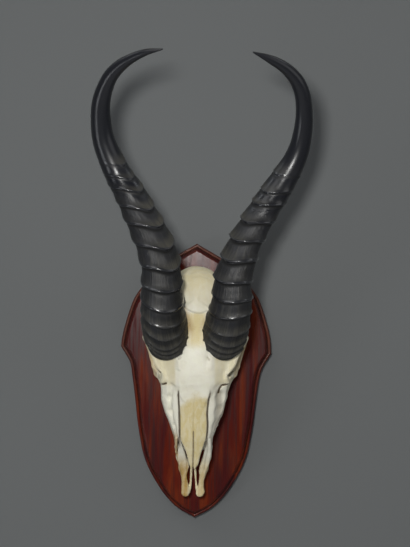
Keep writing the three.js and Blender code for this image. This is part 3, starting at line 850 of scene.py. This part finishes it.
def soft_min(a, b, k):
    """The lesser of two distances, rounded over k where they are alike."""
    if k <= 0:
        return np.minimum(a, b)
    h = np.maximum(k - np.abs(a - b), 0) / k
    return np.minimum(a, b) - h * h * k * 0.25


def soft_max(a, b, k):
    return -soft_min(-a, -b, k)


def all_of(shape, *others):
    """What lies in every one of the shapes; the others are given as (distance, join)."""
    for other, k in others:
        shape = soft_max(shape, other, k)
    return shape.astype(np.float32)


def steps_from(point, x, d, z):
    return [v - point[i] for i, v in enumerate((x, d, z))]


def about_line(point, facing, x, d, z):
    """How far along a line through the point, and the squared distance away from the line."""
    p = steps_from(point, x, d, z)
    along = sum(p[i] * facing[i] for i in range(3))
    return along, np.maximum(sum(v**2 for v in p) - along**2, 0)


def ball(centre, radii):
    """An ellipsoid; centre and radii are across, out from the wall and up."""
    c, r = np.array(centre, np.float32), np.array(radii, np.float32)

    def shape(x, d, z):
        p = steps_from(c, x, d, z)
        k0 = np.sqrt(sum((v / r[i]) ** 2 for i, v in enumerate(p)))
        k1 = np.sqrt(sum((v / r[i] ** 2) ** 2 for i, v in enumerate(p))) + 1e-6
        return k0 * (k0 - 1) / k1

    return shape, c - r, c + r


def rod(a, b, radius_a, radius_b, flat=(1, 1, 1)):
    """A tapering round-ended rod; "flat" squeezes it along an axis."""
    f = np.array(flat, np.float32)
    pa, pb = np.array(a, np.float32) / f, np.array(b, np.float32) / f
    line = pb - pa
    length2 = float(line @ line) + 1e-9

    def shape(x, d, z):
        p = [v / f[i] - pa[i] for i, v in enumerate((x, d, z))]
        t = np.clip(sum(p[i] * line[i] for i in range(3)) / length2, 0, 1)
        gap = np.sqrt(sum((p[i] - t * line[i]) ** 2 for i in range(3)))
        return (gap - mix(radius_a, radius_b, t)) * float(f.min())

    reach = max(radius_a, radius_b) * f
    low = np.minimum(a, b) - reach
    high = np.maximum(a, b) + reach
    return shape, low, high


def slab(centre, half, edge=1.0):
    """A box with rounded edges."""
    c, h = np.array(centre, np.float32), np.array(half, np.float32)

    def shape(x, d, z):
        q = [np.abs(v - c[i]) - (h[i] - edge) for i, v in enumerate((x, d, z))]
        outside = np.sqrt(sum(np.maximum(v, 0) ** 2 for v in q))
        return outside + np.minimum(np.maximum(np.maximum(q[0], q[1]), q[2]), 0) - edge

    return shape, c - h, c + h


def hoop(centre, facing, radius, thickness):
    """A ring that looks along "facing"."""
    c, n = np.array(centre, np.float32), unit(np.array(facing, float)).astype(np.float32)

    def shape(x, d, z):
        along, away2 = about_line(c, n, x, d, z)
        return np.sqrt((np.sqrt(away2) - radius) ** 2 + along**2) - thickness

    reach = radius + thickness
    return shape, c - reach, c + reach


def outline_distance(outline, x, z):
    """Signed distance, across and up, to a closed outline; negative inside."""
    corners = np.array(outline, np.float32)
    nearest = np.full(np.broadcast(x, z).shape, 1e9, np.float32)
    inside = np.zeros(nearest.shape, bool)
    for (ax, az), (bx, bz) in zip(corners, np.roll(corners, -1, axis=0)):
        ex, ez = bx - ax, bz - az
        nearest = np.minimum(nearest, edge_gap2(ax, az, ex, ez, x, z))
        spans = (az <= z) != (bz <= z)
        inside ^= spans & (x < ax + (z - az) / (ez if ez else 1e-9) * ex)
    return np.where(inside, -1, 1) * np.sqrt(nearest)


def plate(outline, top, bottom, edge):
    """A plate of bone with this outline, between two depths that change with height."""
    corners = np.array(outline, float)
    heights = np.linspace(corners[:, 1].min(), corners[:, 1].max(), 20)
    low = (corners[:, 0].min(), bottom(heights).min(), heights[0])
    high = (corners[:, 0].max(), top(heights).max(), heights[-1])

    def shape(x, d, z):
        cover = soft_max(d - top(z), bottom(z) - d, 0.5)
        return all_of(outline_distance(outline, x, z), (cover, edge))

    return shape, np.array(low), np.array(high)


def both(point, side):
    """The point, or its mirror image on the left side."""
    return (side * point[0], point[1], point[2])


def balls(field, masses, side=1, cut=False):
    """Adds or cuts away ellipsoids, given as (centre, radii, join)."""
    for centre, radii, join in masses:
        field.apply(*ball(both(centre, side), radii), join, cut)


def chain(field, points, radii, join, side=1, cut=False, flat=(1, 1, 1)):
    """A bent rod through the points, with its own thickness at each."""
    for i in range(len(points) - 1):
        shape, low, high = rod(both(points[i], side), both(points[i + 1], side), radii[i], radii[i + 1], flat)
        field.apply(shape, low, high, join, cut)


# heights of the face's stations, with half width, roof depth and floor depth at each
FACE = np.array([
    (60, 20, 95, 44), (42, 19, 97, 40), (30, 19, 98, 37), (22, 20, 97.6, 36), (14, 25, 96.2, 35),
    (7, 29, 94, 34), (0, 30, 91, 33.5), (-12, 29.3, 86.5, 33), (-24, 26.3, 82.5, 33),
    (-36, 22, 78.5, 33.5), (-48, 18, 74.5, 34.5), (-58, 16.4, 70, 35.5), (-69, 15, 65.5, 37),
    (-80, 12.5, 60, 38),
])[::-1]
# half of the cross-section as a share of the half width, from floor to roof, on the upper and lower face
SECTION_SHARES = np.array([0, 0.1, 0.3, 0.45, 0.58, 0.7, 0.8, 0.9, 1.0])
UPPER_SECTION = np.array([0.74, 0.86, 0.95, 0.99, 1.0, 1.0, 0.96, 0.8, 0.42])
LOWER_SECTION = np.array([0.74, 0.88, 0.99, 1.0, 0.98, 0.93, 0.88, 0.8, 0.68])

# heights of the brow's stations, with half width, crown depth, rim depth and underside depth at each
BROW = np.array([
    (-14, 17, 83.8, 71, 66), (-5, 23, 88.3, 75, 70), (1, 27, 91.3, 80, 72), (3.5, 31, 93, 82, 74),
    (8, 29.4, 95, 86, 76), (12, 30, 96.3, 88, 78), (18, 34, 97.6, 89, 80), (24, 36.8, 98.3, 89.2, 81),
    (31, 40.3, 98.7, 89, 81), (38, 44, 99, 88.5, 80), (42, 44.8, 99, 88, 79), (47, 44, 99, 87.5, 78),
    (54, 38, 98.7, 88, 76), (62, 30, 98, 87, 73), (70, 22, 96.5, 86, 72), (78, 10, 93, 85, 72),
])


def along_face(column, z):
    """One column of the face's stations, at any height."""
    return np.interp(z, FACE[:, 0], FACE[:, column]).astype(np.float32)


def centre_line(z):
    """How far across the middle of the face is: the snout leans a little to the left."""
    return FACE_CENTRE * (1 - smoothstep(z, 5, 30))


def face_shape(x, d, z):
    """The snout and cheeks: as wide at each depth and height as the cross-sections say."""
    z1, d1 = z.ravel(), d.ravel()
    width, roof, floor = (along_face(i, z1)[None, :] for i in (1, 2, 3))
    rise = (d1[:, None] - floor) / (roof - floor)
    upper = np.interp(rise, SECTION_SHARES, UPPER_SECTION)
    lower = np.interp(rise, SECTION_SHARES, LOWER_SECTION)
    half = width * mix(lower, upper, smoothstep(z1[None, :], -52, -14))
    slope_d, slope_z = np.gradient(half, VOXEL)
    steep = np.sqrt(1 + slope_d**2 + slope_z**2)
    side = (np.abs(x - centre_line(z)) - half[None]) / steep[None]
    top = d - roof[None] - 0.4
    end = -62 + (d - 38) * 0.42 - z
    return all_of(side, (top, 4.0), (floor[None] - d, 3.0), (end, 2.0))


def brow_shape(x, d, z):
    """The roof plate over the eyes: flat in the middle, sloping off to a slightly raised rim."""
    half, crown, edge, under = (np.interp(z, BROW[:, 0], BROW[:, i]) for i in (1, 2, 3, 4))
    away = np.abs(x)
    slope = smoothstep(away, np.minimum(13.0, half - 9), half - 3.5)
    rim = 1.3 * np.exp(-(((away - half + 2.2) / 2.0) ** 2))
    top = (d - mix(crown, edge, slope) - rim) * 0.9
    side = (away - half) * 0.9
    ends = np.maximum(z - BROW[-1, 0], BROW[0, 0] - z)
    return all_of(side, (top, 1.6), (under - d, 2.0), (ends, 2.0))


# outlines from the front, as (across, height): the two nasal bones together, from the left side's top
# round the paired points to the right side's; the prongs of the muzzle; and a stained edge of the left one
NASAL_OUTLINE = [
    (-14.2, 4), (-14.3, -6.6), (-13.5, -21.8), (-13.2, -38.5), (-13.2, -46.5), (-12.1, -49.2), (-10.1, -53.4),
    (-7.9, -59.4), (-5.3, -70.7), (-3.3, -76.2), (-2.3, -77.2), (-1.3, -74.8), (-0.4, -76.7), (0.9, -75.3),
    (3.1, -71.9), (5.0, -64.2), (7.2, -56.0), (9.1, -49.4), (10.3, -46.5), (10.9, -40.2), (11.1, -32.6),
    (10.5, -24.3), (10.9, -17.1), (11.8, -9.9), (13.1, -3.8), (13.6, 4),
]
LEFT_PREMAXILLA = [
    (-14.5, -47), (-14.8, -57.5), (-17.6, -61.2), (-16.2, -67.0), (-13.7, -76.9), (-12.3, -83.8),
    (-11.6, -90.6), (-11.9, -97.6), (-12.2, -101.3), (-10.8, -103.8), (-7.8, -104.7), (-5.6, -103.6),
    (-4.7, -100.5), (-5.0, -96), (-5.6, -92.7), (-6.8, -87.9), (-7.2, -83.7), (-6.2, -79.6),
    (-5.1, -75.9), (-5.3, -73.5), (-8.6, -60.8), (-11.1, -54.9), (-12.8, -49.5),
]
RIGHT_PREMAXILLA = [
    (11.6, -47), (10.9, -50.2), (9.4, -57.2), (7.8, -64.5), (6.2, -71.0), (4.4, -76.2), (3.9, -80.7),
    (4.5, -83.6), (3.9, -89.8), (3.3, -94.7), (2.0, -98.5), (1.2, -101.5), (2.3, -104.0),
    (4.8, -104.8), (7.6, -103.9), (9.3, -100.1), (8.5, -95.3), (8.8, -89.1), (10.4, -82.2),
    (12.9, -73.8), (15.0, -63.8), (15.0, -56.5), (14.6, -47),
]
LEFT_STAINED_EDGE = [
    (-14.9, -46), (-15.1, -54), (-15.6, -61.0), (-16.6, -64.0), (-17.6, -61.0), (-17.8, -54.0), (-17.8, -46),
]
NASAL_THICKNESS = 3.4
# how far outside the nasal bones the seam's middle runs
SEAM_SHIFT = 0.45


def nasal_roof(z):
    """Depth of the nasal bones' face at each height."""
    heights = [-77, -67, -57, -48, -36, -24, -12, 0, 6]
    return np.interp(z, heights, [61.8, 66.2, 70.6, 74.8, 78.9, 82.9, 86.9, 91.2, 93.6])


def prong_top(z):
    """Depth of the muzzle's prongs at the front, at each height."""
    return np.interp(z, [-104, -96, -89, -80, -71, -62, -55, -47], [46, 47.4, 49, 51.5, 55, 60.5, 66.3, 72.5])


def prong_bottom(z):
    """Depth of the muzzle's prongs at the back, at each height."""
    return np.interp(z, [-104, -96, -89, -80, -71, -62, -47], [40.5, 42, 44, 45.5, 47, 50, 56])


def nasal_shape(x, d, z):
    """The two long nasal bones, gently crowned, with a fine groove where they meet."""
    across = x - centre_line(z)
    crown = nasal_roof(z) + 0.9 - 2.6 * (np.abs(across) / 12) ** 2.2
    crown = crown - 0.7 * np.exp(-(((across - 0.1) / 0.7) ** 2)) * smoothstep(z, -20, -34)
    below = nasal_roof(z) - NASAL_THICKNESS - d
    return all_of(outline_distance(NASAL_OUTLINE, x, z), (d - crown, 1.4), (below, 1.0))


def seam_edge(side, z):
    """How far across the outer edge of the nasal bones is on one side."""
    corners = np.array([c for c in NASAL_OUTLINE if c[0] * side > 9 and c[1] > -47])
    corners = corners[np.argsort(corners[:, 1])]
    return np.interp(z, corners[:, 1], corners[:, 0])


def seam_gap(side, x, z):
    """Distance across to the middle of the seam beside the nasal bones."""
    return np.abs(x - seam_edge(side, z) - side * SEAM_SHIFT)


def seam_shape(side):
    """The open seam between the nasal bones and the cheek on one side."""

    def shape(x, d, z):
        wide = 0.5 * smoothstep(z, 2, -8) * smoothstep(z, -60, -50)
        below = nasal_roof(z) - 5.5 - d
        ends = np.maximum(z - 1, -57 - z)
        return all_of(seam_gap(side, x, z) - wide, (below, 0.6), (ends, 0.6))

    return shape


# the right eye socket: its middle and the way it faces, its rim, and its hollow, which narrows over
# the first depth inwards and over the second outwards
ORBIT = {
    "centre": (37, 70, 25), "facing": (math.cos(0.36), 0.13, -math.sin(0.36)),
    "rim": 17.6, "rim_thickness": 2.5,
    "hollow": 15.6, "hollow_depth": 23.0, "mouth_depth": 40.0, "reach": 26,
}


def orbit(side):
    """The middle of an eye socket, and the way that it faces."""
    return np.array(both(ORBIT["centre"], side)), unit(np.array(both(ORBIT["facing"], side)))


def eye_socket(side):
    """A deep round hollow that narrows inwards."""
    c, n = orbit(side)

    def shape(x, d, z):
        along, away2 = about_line(c, n, x, d, z)
        depth = np.where(along < 0, along / ORBIT["hollow_depth"], along / ORBIT["mouth_depth"])
        size = ORBIT["hollow"]
        return ((np.sqrt(away2 / size**2 + depth**2) - 1) * size).astype(np.float32)

    return shape, c - ORBIT["reach"], c + ORBIT["reach"]


def build_face(field):
    """The snout and cheeks, the brow, and the forms between them."""
    field.apply(face_shape, (-34, 32, -84), (34, 102, 60), 0)
    field.apply(brow_shape, (-48, 64, -16), (48, 102, 80), 5)
    for side in (-1, 1):
        # hollow in front of the eye, crease down the cheek, swelling low on it and a dimple below that
        field.apply(*ball((side * 39.5, 74, -4), (7.0, 9, 9)), 4, cut=True)
        crease = [(19.5, 88, 2), (21.2, 82, -9), (20.6, 77.0, -22), (18.0, 73, -36), (15.5, 70, -46)]
        radii = [1.4, 4.2, 4.4, 3.2, 1.0] if side > 0 else [0.8, 1.4, 1.4, 0.8, 0.3]
        shift = 2.9 if side > 0 else 1.2
        chain(field, [(x + shift, d, z) for x, d, z in crease], radii, 4, side, cut=True)
        field.apply(*ball((side * 21.5 + FACE_CENTRE, 47, -19), (5.6, 8, 12)), 5)
        field.apply(*ball((side * 22.5, 50, -41), (3.0, 2.0, 3.2)), 1.5, cut=True)


# the two thin bars that lie side by side down the middle of the snout
PALATE_BARS = {
    -1: [(-5.2, 43, -100.5), (-4.2, 43.5, -96), (-3.4, 44, -90), (-3.2, 45, -84), (-3.2, 46, -75),
         (-3.4, 47, -56)],
    1: [(3.0, 43, -100.5), (1.9, 43.5, -96), (1.2, 44, -90), (0.8, 45, -84), (0.4, 46, -77),
        (0.4, 47, -56)],
}


def build_snout(field):
    """The muzzle: a hollow with side walls, two bars inside it, its prongs and the nasal bones."""
    field.apply(*ball((FACE_CENTRE, 57, -70), (12.0, 13.5, 31)), 1.5, cut=True)
    for side in (-1, 1):
        shift = FACE_CENTRE * side
        wall = [(14.0, 45, -58), (12.5, 44.5, -68), (10.5, 45, -78), (9.0, 44.5, -87)]
        chain(field, [(x + shift, d, z) for x, d, z in wall], [3.4, 3.2, 2.6, 1.8], 2.5, side)
        chain(field, PALATE_BARS[side], [1.2, 1.1, 1.0, 1.0, 1.1, 1.3], 0.5, flat=(1, 1.3, 1))
    for outline in (LEFT_PREMAXILLA, RIGHT_PREMAXILLA):
        field.apply(*plate(outline, prong_top, prong_bottom, 2.0), 0.8)
    field.apply(*plate(LEFT_STAINED_EDGE, lambda z: prong_top(z) - 1.5, prong_bottom, 1.5), 0.5)
    field.apply(nasal_shape, (-15, 56, -80), (14, 96, 6), 0.5)
    for side in (-1, 1):
        left, right = (-17, -10) if side < 0 else (8, 17)
        field.apply(seam_shape(side), (left, 55, -60), (right, 100, 2), 0.5, cut=True)


def build_eyes(field):
    """The bar behind each eye, the cheek's arch below it, the socket's rim and its hollow."""
    for side in (-1, 1):
        centre, facing = both(ORBIT["centre"], side), both(ORBIT["facing"], side)
        bar = [(42.5, 86, 44), (43.6, 77, 44.5), (43.2, 66, 43), (41.6, 56, 39)]
        chain(field, bar, [3.6, 2.9, 2.9, 3.4], 3, side)
        arch = [
            (22, 46, -28), (26, 49, -11), (27.4, 50, -2), (29.8, 51.5, 4), (35.0, 52, 10.5), (37.4, 52, 17),
            (38.2, 51.5, 24), (40.4, 50.5, 37), (38.2, 47, 54), (27, 45, 70),
        ]
        radii = [2.0, 3.2, 3.4, 3.2, 3.0, 2.8, 2.6, 2.5, 2.4, 3.4]
        chain(field, arch, radii, 3, side, flat=(0.9, 1.35, 1))
        field.apply(*hoop(centre, facing, ORBIT["rim"], ORBIT["rim_thickness"]), 3)
        field.apply(*eye_socket(side), 1.6, cut=True)


# masses of the braincase, as (centre, radii, join): the vault, its crown and its base; on each side the
# boss under a horn, the bulla of the ear and the knuckle at the neck; and the openings to the spine and
# behind the palate
VAULT = [
    ((0.6, 64, 74.2), (28.6, 33, 34.2), 8), ((0, 58, 94), (20, 18, 10), 4), ((0, 42, 66), (13, 12, 40), 6),
]
PAIRED_MASSES = [
    ((26, 95, 53), (16.6, 16, 21.5), 3), ((15, 31, 76), (8.5, 10.7, 12), 2.5),
    ((9.5, 38.5, 98), (6.6, 9, 7.2), 2),
]
MIDDLE_OPENINGS = [((0, 43, 105), (7.2, 7, 13), 1.5), ((0, 41, 34), (7, 7, 14), 2)]


def build_braincase(field):
    """The vault, its masses, and the ridges and bars of its base."""
    balls(field, VAULT)
    for side in (-1, 1):
        balls(field, PAIRED_MASSES, side)
        chain(field, [(19, 47, 88), (19.5, 36, 91), (18, 27, 91.5)], [3.6, 2.8, 1.5], 3, side)
        chain(field, [(24, 45, 78), (30, 46, 80)], [4.2, 3.2], 2, side)
        # the ear's opening
        field.apply(*rod((side * 34, 46, 80), (side * 25, 45, 79), 1.7, 1.5), 0.6, cut=True)
        chain(field, [(8, 42, 24), (8.5, 37, 34), (9, 36, 46)], [2.2, 1.8, 2.6], 2.5, side)
        chain(field, [(21, 50, 40), (27, 52, 62)], [5, 6], 6, side)
    balls(field, MIDDLE_OPENINGS, cut=True)


TOOTH_COUNT, LARGE_TEETH = 6, 3
TOOTH_PITCH, TOP_TOOTH = 10.6, 17
TOOTH_HALF = {"large": 4.9, "small": 4.3}
TOOTH_ROW, ROW_TAPER = 20, 0.045


def build_teeth(field):
    """The palate's hollow, and a row of cheek teeth on each side with two folds in each tooth."""
    field.apply(*ball((FACE_CENTRE, 27, -12), (13.5, 12, 48)), 3, cut=True)
    for side in (-1, 1):
        for i in range(TOOTH_COUNT):
            height = TOP_TOOTH - TOOTH_PITCH * i
            half = TOOTH_HALF["large" if i < LARGE_TEETH else "small"]
            x = FACE_CENTRE * 0.5 + side * (TOOTH_ROW - ROW_TAPER * TOOTH_PITCH * i)
            field.apply(*slab((x, 30, height), (4.2, 9.6, half), 1.3), 0.8)
            outside = x + side * 4.6
            for offset in (-half * 0.5, half * 0.5):
                fold = rod((outside, 20, height + offset), (outside, 36, height + offset), 1.0, 0.6)
                field.apply(*fold, 0.6, cut=True)


# seams and cracks on the front of the bone, and lines of painted shade: (points across and up, half width,
# depth, darkness, least distance from the wall)
SEAM_AND_SHADE_LINES = [
    ([(-10, 72.5), (-7.2, 69.9), (-3.5, 68), (0, 67.1), (4, 66.8), (7, 67.6), (10, 69.5)],
     0.7, 0.35, 0.3, 86),
    # painted shadow under the overhanging lower edge of the brow, left and right; the right one runs on down
    # by the cheek
    ([(-35, 3.6), (-31, 2.7), (-28, 2.9), (-25.8, 3.8)], 0.75, 2.4, 1.0, 69),
    ([(35, 3.4), (31, 3.2), (27, 2.9), (23.8, 2.7), (21.6, -0.6), (20.6, -5)], 0.75, 2.2, 1.0, 69),
    ([(-12.6, 28.2), (-13.6, 27), (-14.8, 26.6)], 0.7, 0.6, 0.3, 86),
    ([(10.6, 28.2), (11.6, 27), (12.2, 26)], 0.7, 0.7, 0.35, 86),
    # painted shade along the crease down the right cheek
    ([(20.6, -4), (21.6, -14), (21.2, -26), (19.4, -37)], 2.8, 0.3, 0.42, 66),
    # painted shade in the gap between the right eye's rim and the cheek's arch
    ([(43.5, 34), (39.6, 25.6), (37.6, 19.5), (34.2, 14.9), (30.5, 11.0)], 1.5, 2.6, 0.9, 58),
    ([(-33.8, 15), (-31, 13.5)], 0.8, 1.4, 0.7, 60),
    ([(-14.8, -47), (-15.2, -54), (-16.2, -62.5)], 0.6, 0.9, 0.8, 56),
    ([(-9.4, -58), (-7.6, -66), (-6.9, -75)], 0.5, 0.4, 0.3, 50),
    ([(11.9, -52), (11.4, -60), (9.6, -69), (8.6, -78)], 0.6, 0.6, 0.3, 48),
    ([(-1.2, -40), (-1.1, -48), (-1.1, -58), (-1.4, -69), (-1.4, -75)], 0.65, 0.6, 0.75, 58),
    ([(-0.4, -6), (-1.0, -14), (-1.2, -30), (-1.2, -40)], 0.5, 0.25, 0.1, 70),
    ([(-6, 101.5), (1, 103.2), (9, 102)], 0.8, 0.12, 0.08, 70),
    ([(-4, 98), (3, 99.4), (10, 97.5)], 0.8, 0.1, 0.07, 70),
]


def build_marks(field):
    """Raised lips beside the small slits over the eyes, and grooves along the fine seams between the bones
    and the lines of painted shade.
    """
    for side in (-1, 1):
        field.apply(*ball((side * 13.4 - 0.4, 97.4, 22.0), (1.6, 1.2, 4.0)), 2.6)
    for line, half_width, depth, _, nearest in SEAM_AND_SHADE_LINES:
        field.engrave(line, half_width, depth, nearest)


WAVE_COUNT, WAVE_RATE, WAVE_HEIGHT = 5, 0.45, 0.14


def unevenness(field):
    """A slight waviness, so that no surface is a perfect curve."""
    x, d, z = field.axes[0][:, None, None], field.axes[1][None, :, None], field.axes[2][None, None, :]
    rng = np.random.default_rng(5)
    for _ in range(WAVE_COUNT):
        kx, kd, kz = rng.uniform(-WAVE_RATE, WAVE_RATE, 3)
        shift = rng.uniform(0, 6)
        wave = np.sin(kx * x + shift) * np.cos(kd * d) * np.sin(kz * z + shift)
        field.value += (WAVE_HEIGHT * wave).astype(np.float32)


def box_blur(values, radius):
    """The grid with each value replaced by the mean of those within the radius, in cells."""
    out = values
    for axis in range(3):
        pad = [(radius + 1, radius) if i == axis else (0, 0) for i in range(3)]
        total = np.cumsum(np.pad(out, pad, mode="edge"), axis=axis, dtype=np.float32)
        top = np.take(total, range(2 * radius + 1, total.shape[axis]), axis=axis)
        low = np.take(total, range(0, total.shape[axis] - 2 * radius - 1), axis=axis)
        out = (top - low) / (2 * radius + 1)
    return out


def sample(field, values, points):
    """Reads a grid at any points, by straight-line interpolation."""
    where = (points - field.low) / field.step
    base = np.clip(np.floor(where).astype(int), 0, np.array(values.shape) - 2)
    t = where - base
    result = np.zeros(len(points))
    for corner in np.ndindex(2, 2, 2):
        weight = np.prod(np.where(corner, t, 1 - t), axis=1)
        result += weight * values[tuple((base + corner).T)]
    return result


# the horn's lower part is this many of the samples along its middle line
HORN_SAMPLES, ROOT_SAMPLES = 60, 24


def nearness(points, spine, margin):
    """How close points are to a horn's lower part: 1 at its skin, 0 at the margin in millimetres."""
    gap = np.full(len(points), np.inf)
    for x, d, z, half in spline(spine, HORN_SAMPLES)[:ROOT_SAMPLES]:
        away = np.sqrt((points[:, 0] - x) ** 2 + (points[:, 1] - d) ** 2 + (points[:, 2] - z) ** 2)
        gap = np.minimum(gap, away - half)
    return smoothstep(gap, margin, 0)


def cream_mask(x, d, z, inside):
    """Slightly aged bone: between the horns, on the dome, the snout, the brow's sides and the back."""
    between = smoothstep(np.abs(x - 0.5), 11, 5) * smoothstep(z, 33, 43)
    between = between * smoothstep(z, 69, 65) * smoothstep(d, 85, 92)
    dome = 0.7 * smoothstep(z, 62, 98) * smoothstep(d, 40, 60)
    snout = smoothstep(z, -60, -82) * (1 - inside) * 0.75
    brow_side = 0.5 * smoothstep(np.abs(x), 16, 19) * smoothstep(z, 0, 6) * smoothstep(d, 60, 80)
    back = 0.45 * smoothstep(d, 75, 45) * smoothstep(z, -45, -25)
    return np.maximum.reduce([between, dome, snout, brow_side, back])


def stain_and_shadow_mask(points, across):
    """Stained bone: the muzzle's left edge, its prongs and the strips behind the eyes; by the horns, stain
    with a painted horn shadow, strongest on the left horn's inner side.
    """
    x, d, z = points.T
    low = smoothstep(z + 0.25 * (d - 70), -38, -50)
    edge = smoothstep(across, -13.4, -14.4) * low * smoothstep(d, 76, 73) * smoothstep(d, 40, 62)
    prong = smoothstep(across, -3.5, -6) * smoothstep(z, -60, -80)
    right_prong = smoothstep(across, 3.5, 5) * smoothstep(z, -62, -84) * 0.5
    strip = smoothstep(np.abs(x), 33, 37) * smoothstep(d, 72, 60) * 0.65
    inner = smoothstep(x, -31, -22)
    # by the horns: stain with a painted shadow, mostly on the left horn's inner side
    horn_shadow_and_grime = 1.1 * inner * nearness(points, LEFT_SPINE, 6.0) + 0.45 * nearness(points, RIGHT_SPINE, 3.0)
    return np.maximum.reduce([edge, prong, right_prong, strip, np.clip(horn_shadow_and_grime, 0, 1) * smoothstep(z, 42, 56)])


def hollow_shade_mask(field, points):
    """Painted shade where the bone is hollow, and deep in the eye sockets."""
    blurred = box_blur(np.clip(field.value, -4, 4), 4)
    dark = smoothstep(-sample(field, blurred, points), 0.45, 1.7) * 0.9
    for side in (-1, 1):
        centre, facing = orbit(side)
        from_socket = points - centre
        inward = -from_socket @ facing
        away = np.sqrt(np.maximum((from_socket**2).sum(axis=1) - inward**2, 0))
        dark = np.maximum(dark, 0.72 * smoothstep(away, 15.5, 12.5) * smoothstep(inward, 3, 17))
    return dark


def seam_and_shade_mask(x, d, z):
    """The drawn seams and lines of painted shade, and the two open seams beside the nasal bones."""
    seams_and_shade = [
        darkness * smoothstep(line_distance(line, x, z), 1.5 * half_width, 0.4 * half_width) * (d > nearest)
        for line, half_width, _, darkness, nearest in SEAM_AND_SHADE_LINES
    ]
    for side in (-1, 1):
        span = smoothstep(z, 1, -6) * smoothstep(z, -58, -52) * (d > nasal_roof(z) - 7)
        seams_and_shade.append(0.75 * smoothstep(seam_gap(side, x, z), 1.3, 0.6) * span)
    return np.maximum.reduce(seams_and_shade)


def bone_masks(field, points):
    """Where the bone is tan, cream or amber with age, where a horn's shadow is painted, and where painted
    shade darkens hollows and lines.
    """
    x, d, z = points.T
    across = x - centre_line(z)
    inside = smoothstep(-outline_distance(NASAL_OUTLINE, x, z), -0.3, 0.7)
    start = smoothstep(z + 0.5 * np.abs(across - 1.5) - 0.25 * across, 1, -15)
    return {
        "tan": inside * smoothstep(d - nasal_roof(z), -5, -2.5) * start * (1 - 0.1 * smoothstep(z, -34, -60)),
        "cream": cream_mask(x, d, z, inside), "stain_and_shadow": stain_and_shadow_mask(points, across),
        "hollow": hollow_shade_mask(field, points), "seam_and_shade": seam_and_shade_mask(x, d, z),
    }


def thinned(mesh, most):
    """The same mesh with fewer faces, taken mostly from where it is flat."""
    count = sum(len(face.vertices) - 2 for face in mesh.polygons)
    holder = put("thinning", mesh)
    if count > most:
        holder.modifiers.new("thin", "DECIMATE").ratio = most / count
    depsgraph = bpy.context.evaluated_depsgraph_get()
    result = bpy.data.meshes.new_from_object(holder.evaluated_get(depsgraph))
    bpy.data.objects.remove(holder)
    return result


def make_skull(material):
    """The whole skull as one field of distances, turned into a mesh and thinned."""
    field = BoneField(FIELD_LOW, FIELD_HIGH, VOXEL)
    for build in (build_face, build_braincase, build_eyes, build_teeth, build_snout, build_marks, unevenness):
        build(field)
    grid = openvdb.FloatGrid(FAR)
    grid.copyFromArray(np.ascontiguousarray(np.clip(field.value, -FAR, FAR)))
    vertices, triangles, quads = grid.convertToPolygons(isovalue=0.0, adaptivity=0.0)
    points = (vertices * field.step + field.low) * (MM, -MM, MM)
    rough = bpy.data.meshes.new("rough_skull")
    rough.from_pydata(points.tolist(), [], [*quads.tolist(), *triangles.tolist()])
    mesh = thinned(rough, MOST_TRIANGLES)
    mesh.name = "springbok_skull"
    spots = np.empty(len(mesh.vertices) * 3, np.float32)
    mesh.vertices.foreach_get("co", spots)
    spots = spots.reshape(-1, 3) / (MM, -MM, MM)
    return finish_piece("springbok_skull", mesh, bone_masks(field, spots), material)


# ------------------------------------------------------------------ assembly

make_camera()
make_stage()
make_lights()
GROUPS["fine_grain"] = make_fine_grain()
GROUPS["blotches"] = make_blotches()

shield = make_shield(mahogany_material())
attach(shield, "root")
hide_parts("shield")

skull = make_skull(bone_material())
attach(skull, "root")
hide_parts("skull")

horn_finish = horn_material()
left_horn = make_horn("left_horn_sheath", LEFT_SPINE, LEFT_RINGS, -1, horn_finish, 11)
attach(left_horn, "root")
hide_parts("left_horn")

right_horn = make_horn("right_horn_sheath", RIGHT_SPINE, RIGHT_RINGS, 1, horn_finish, 23)
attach(right_horn, "root")
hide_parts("right_horn")
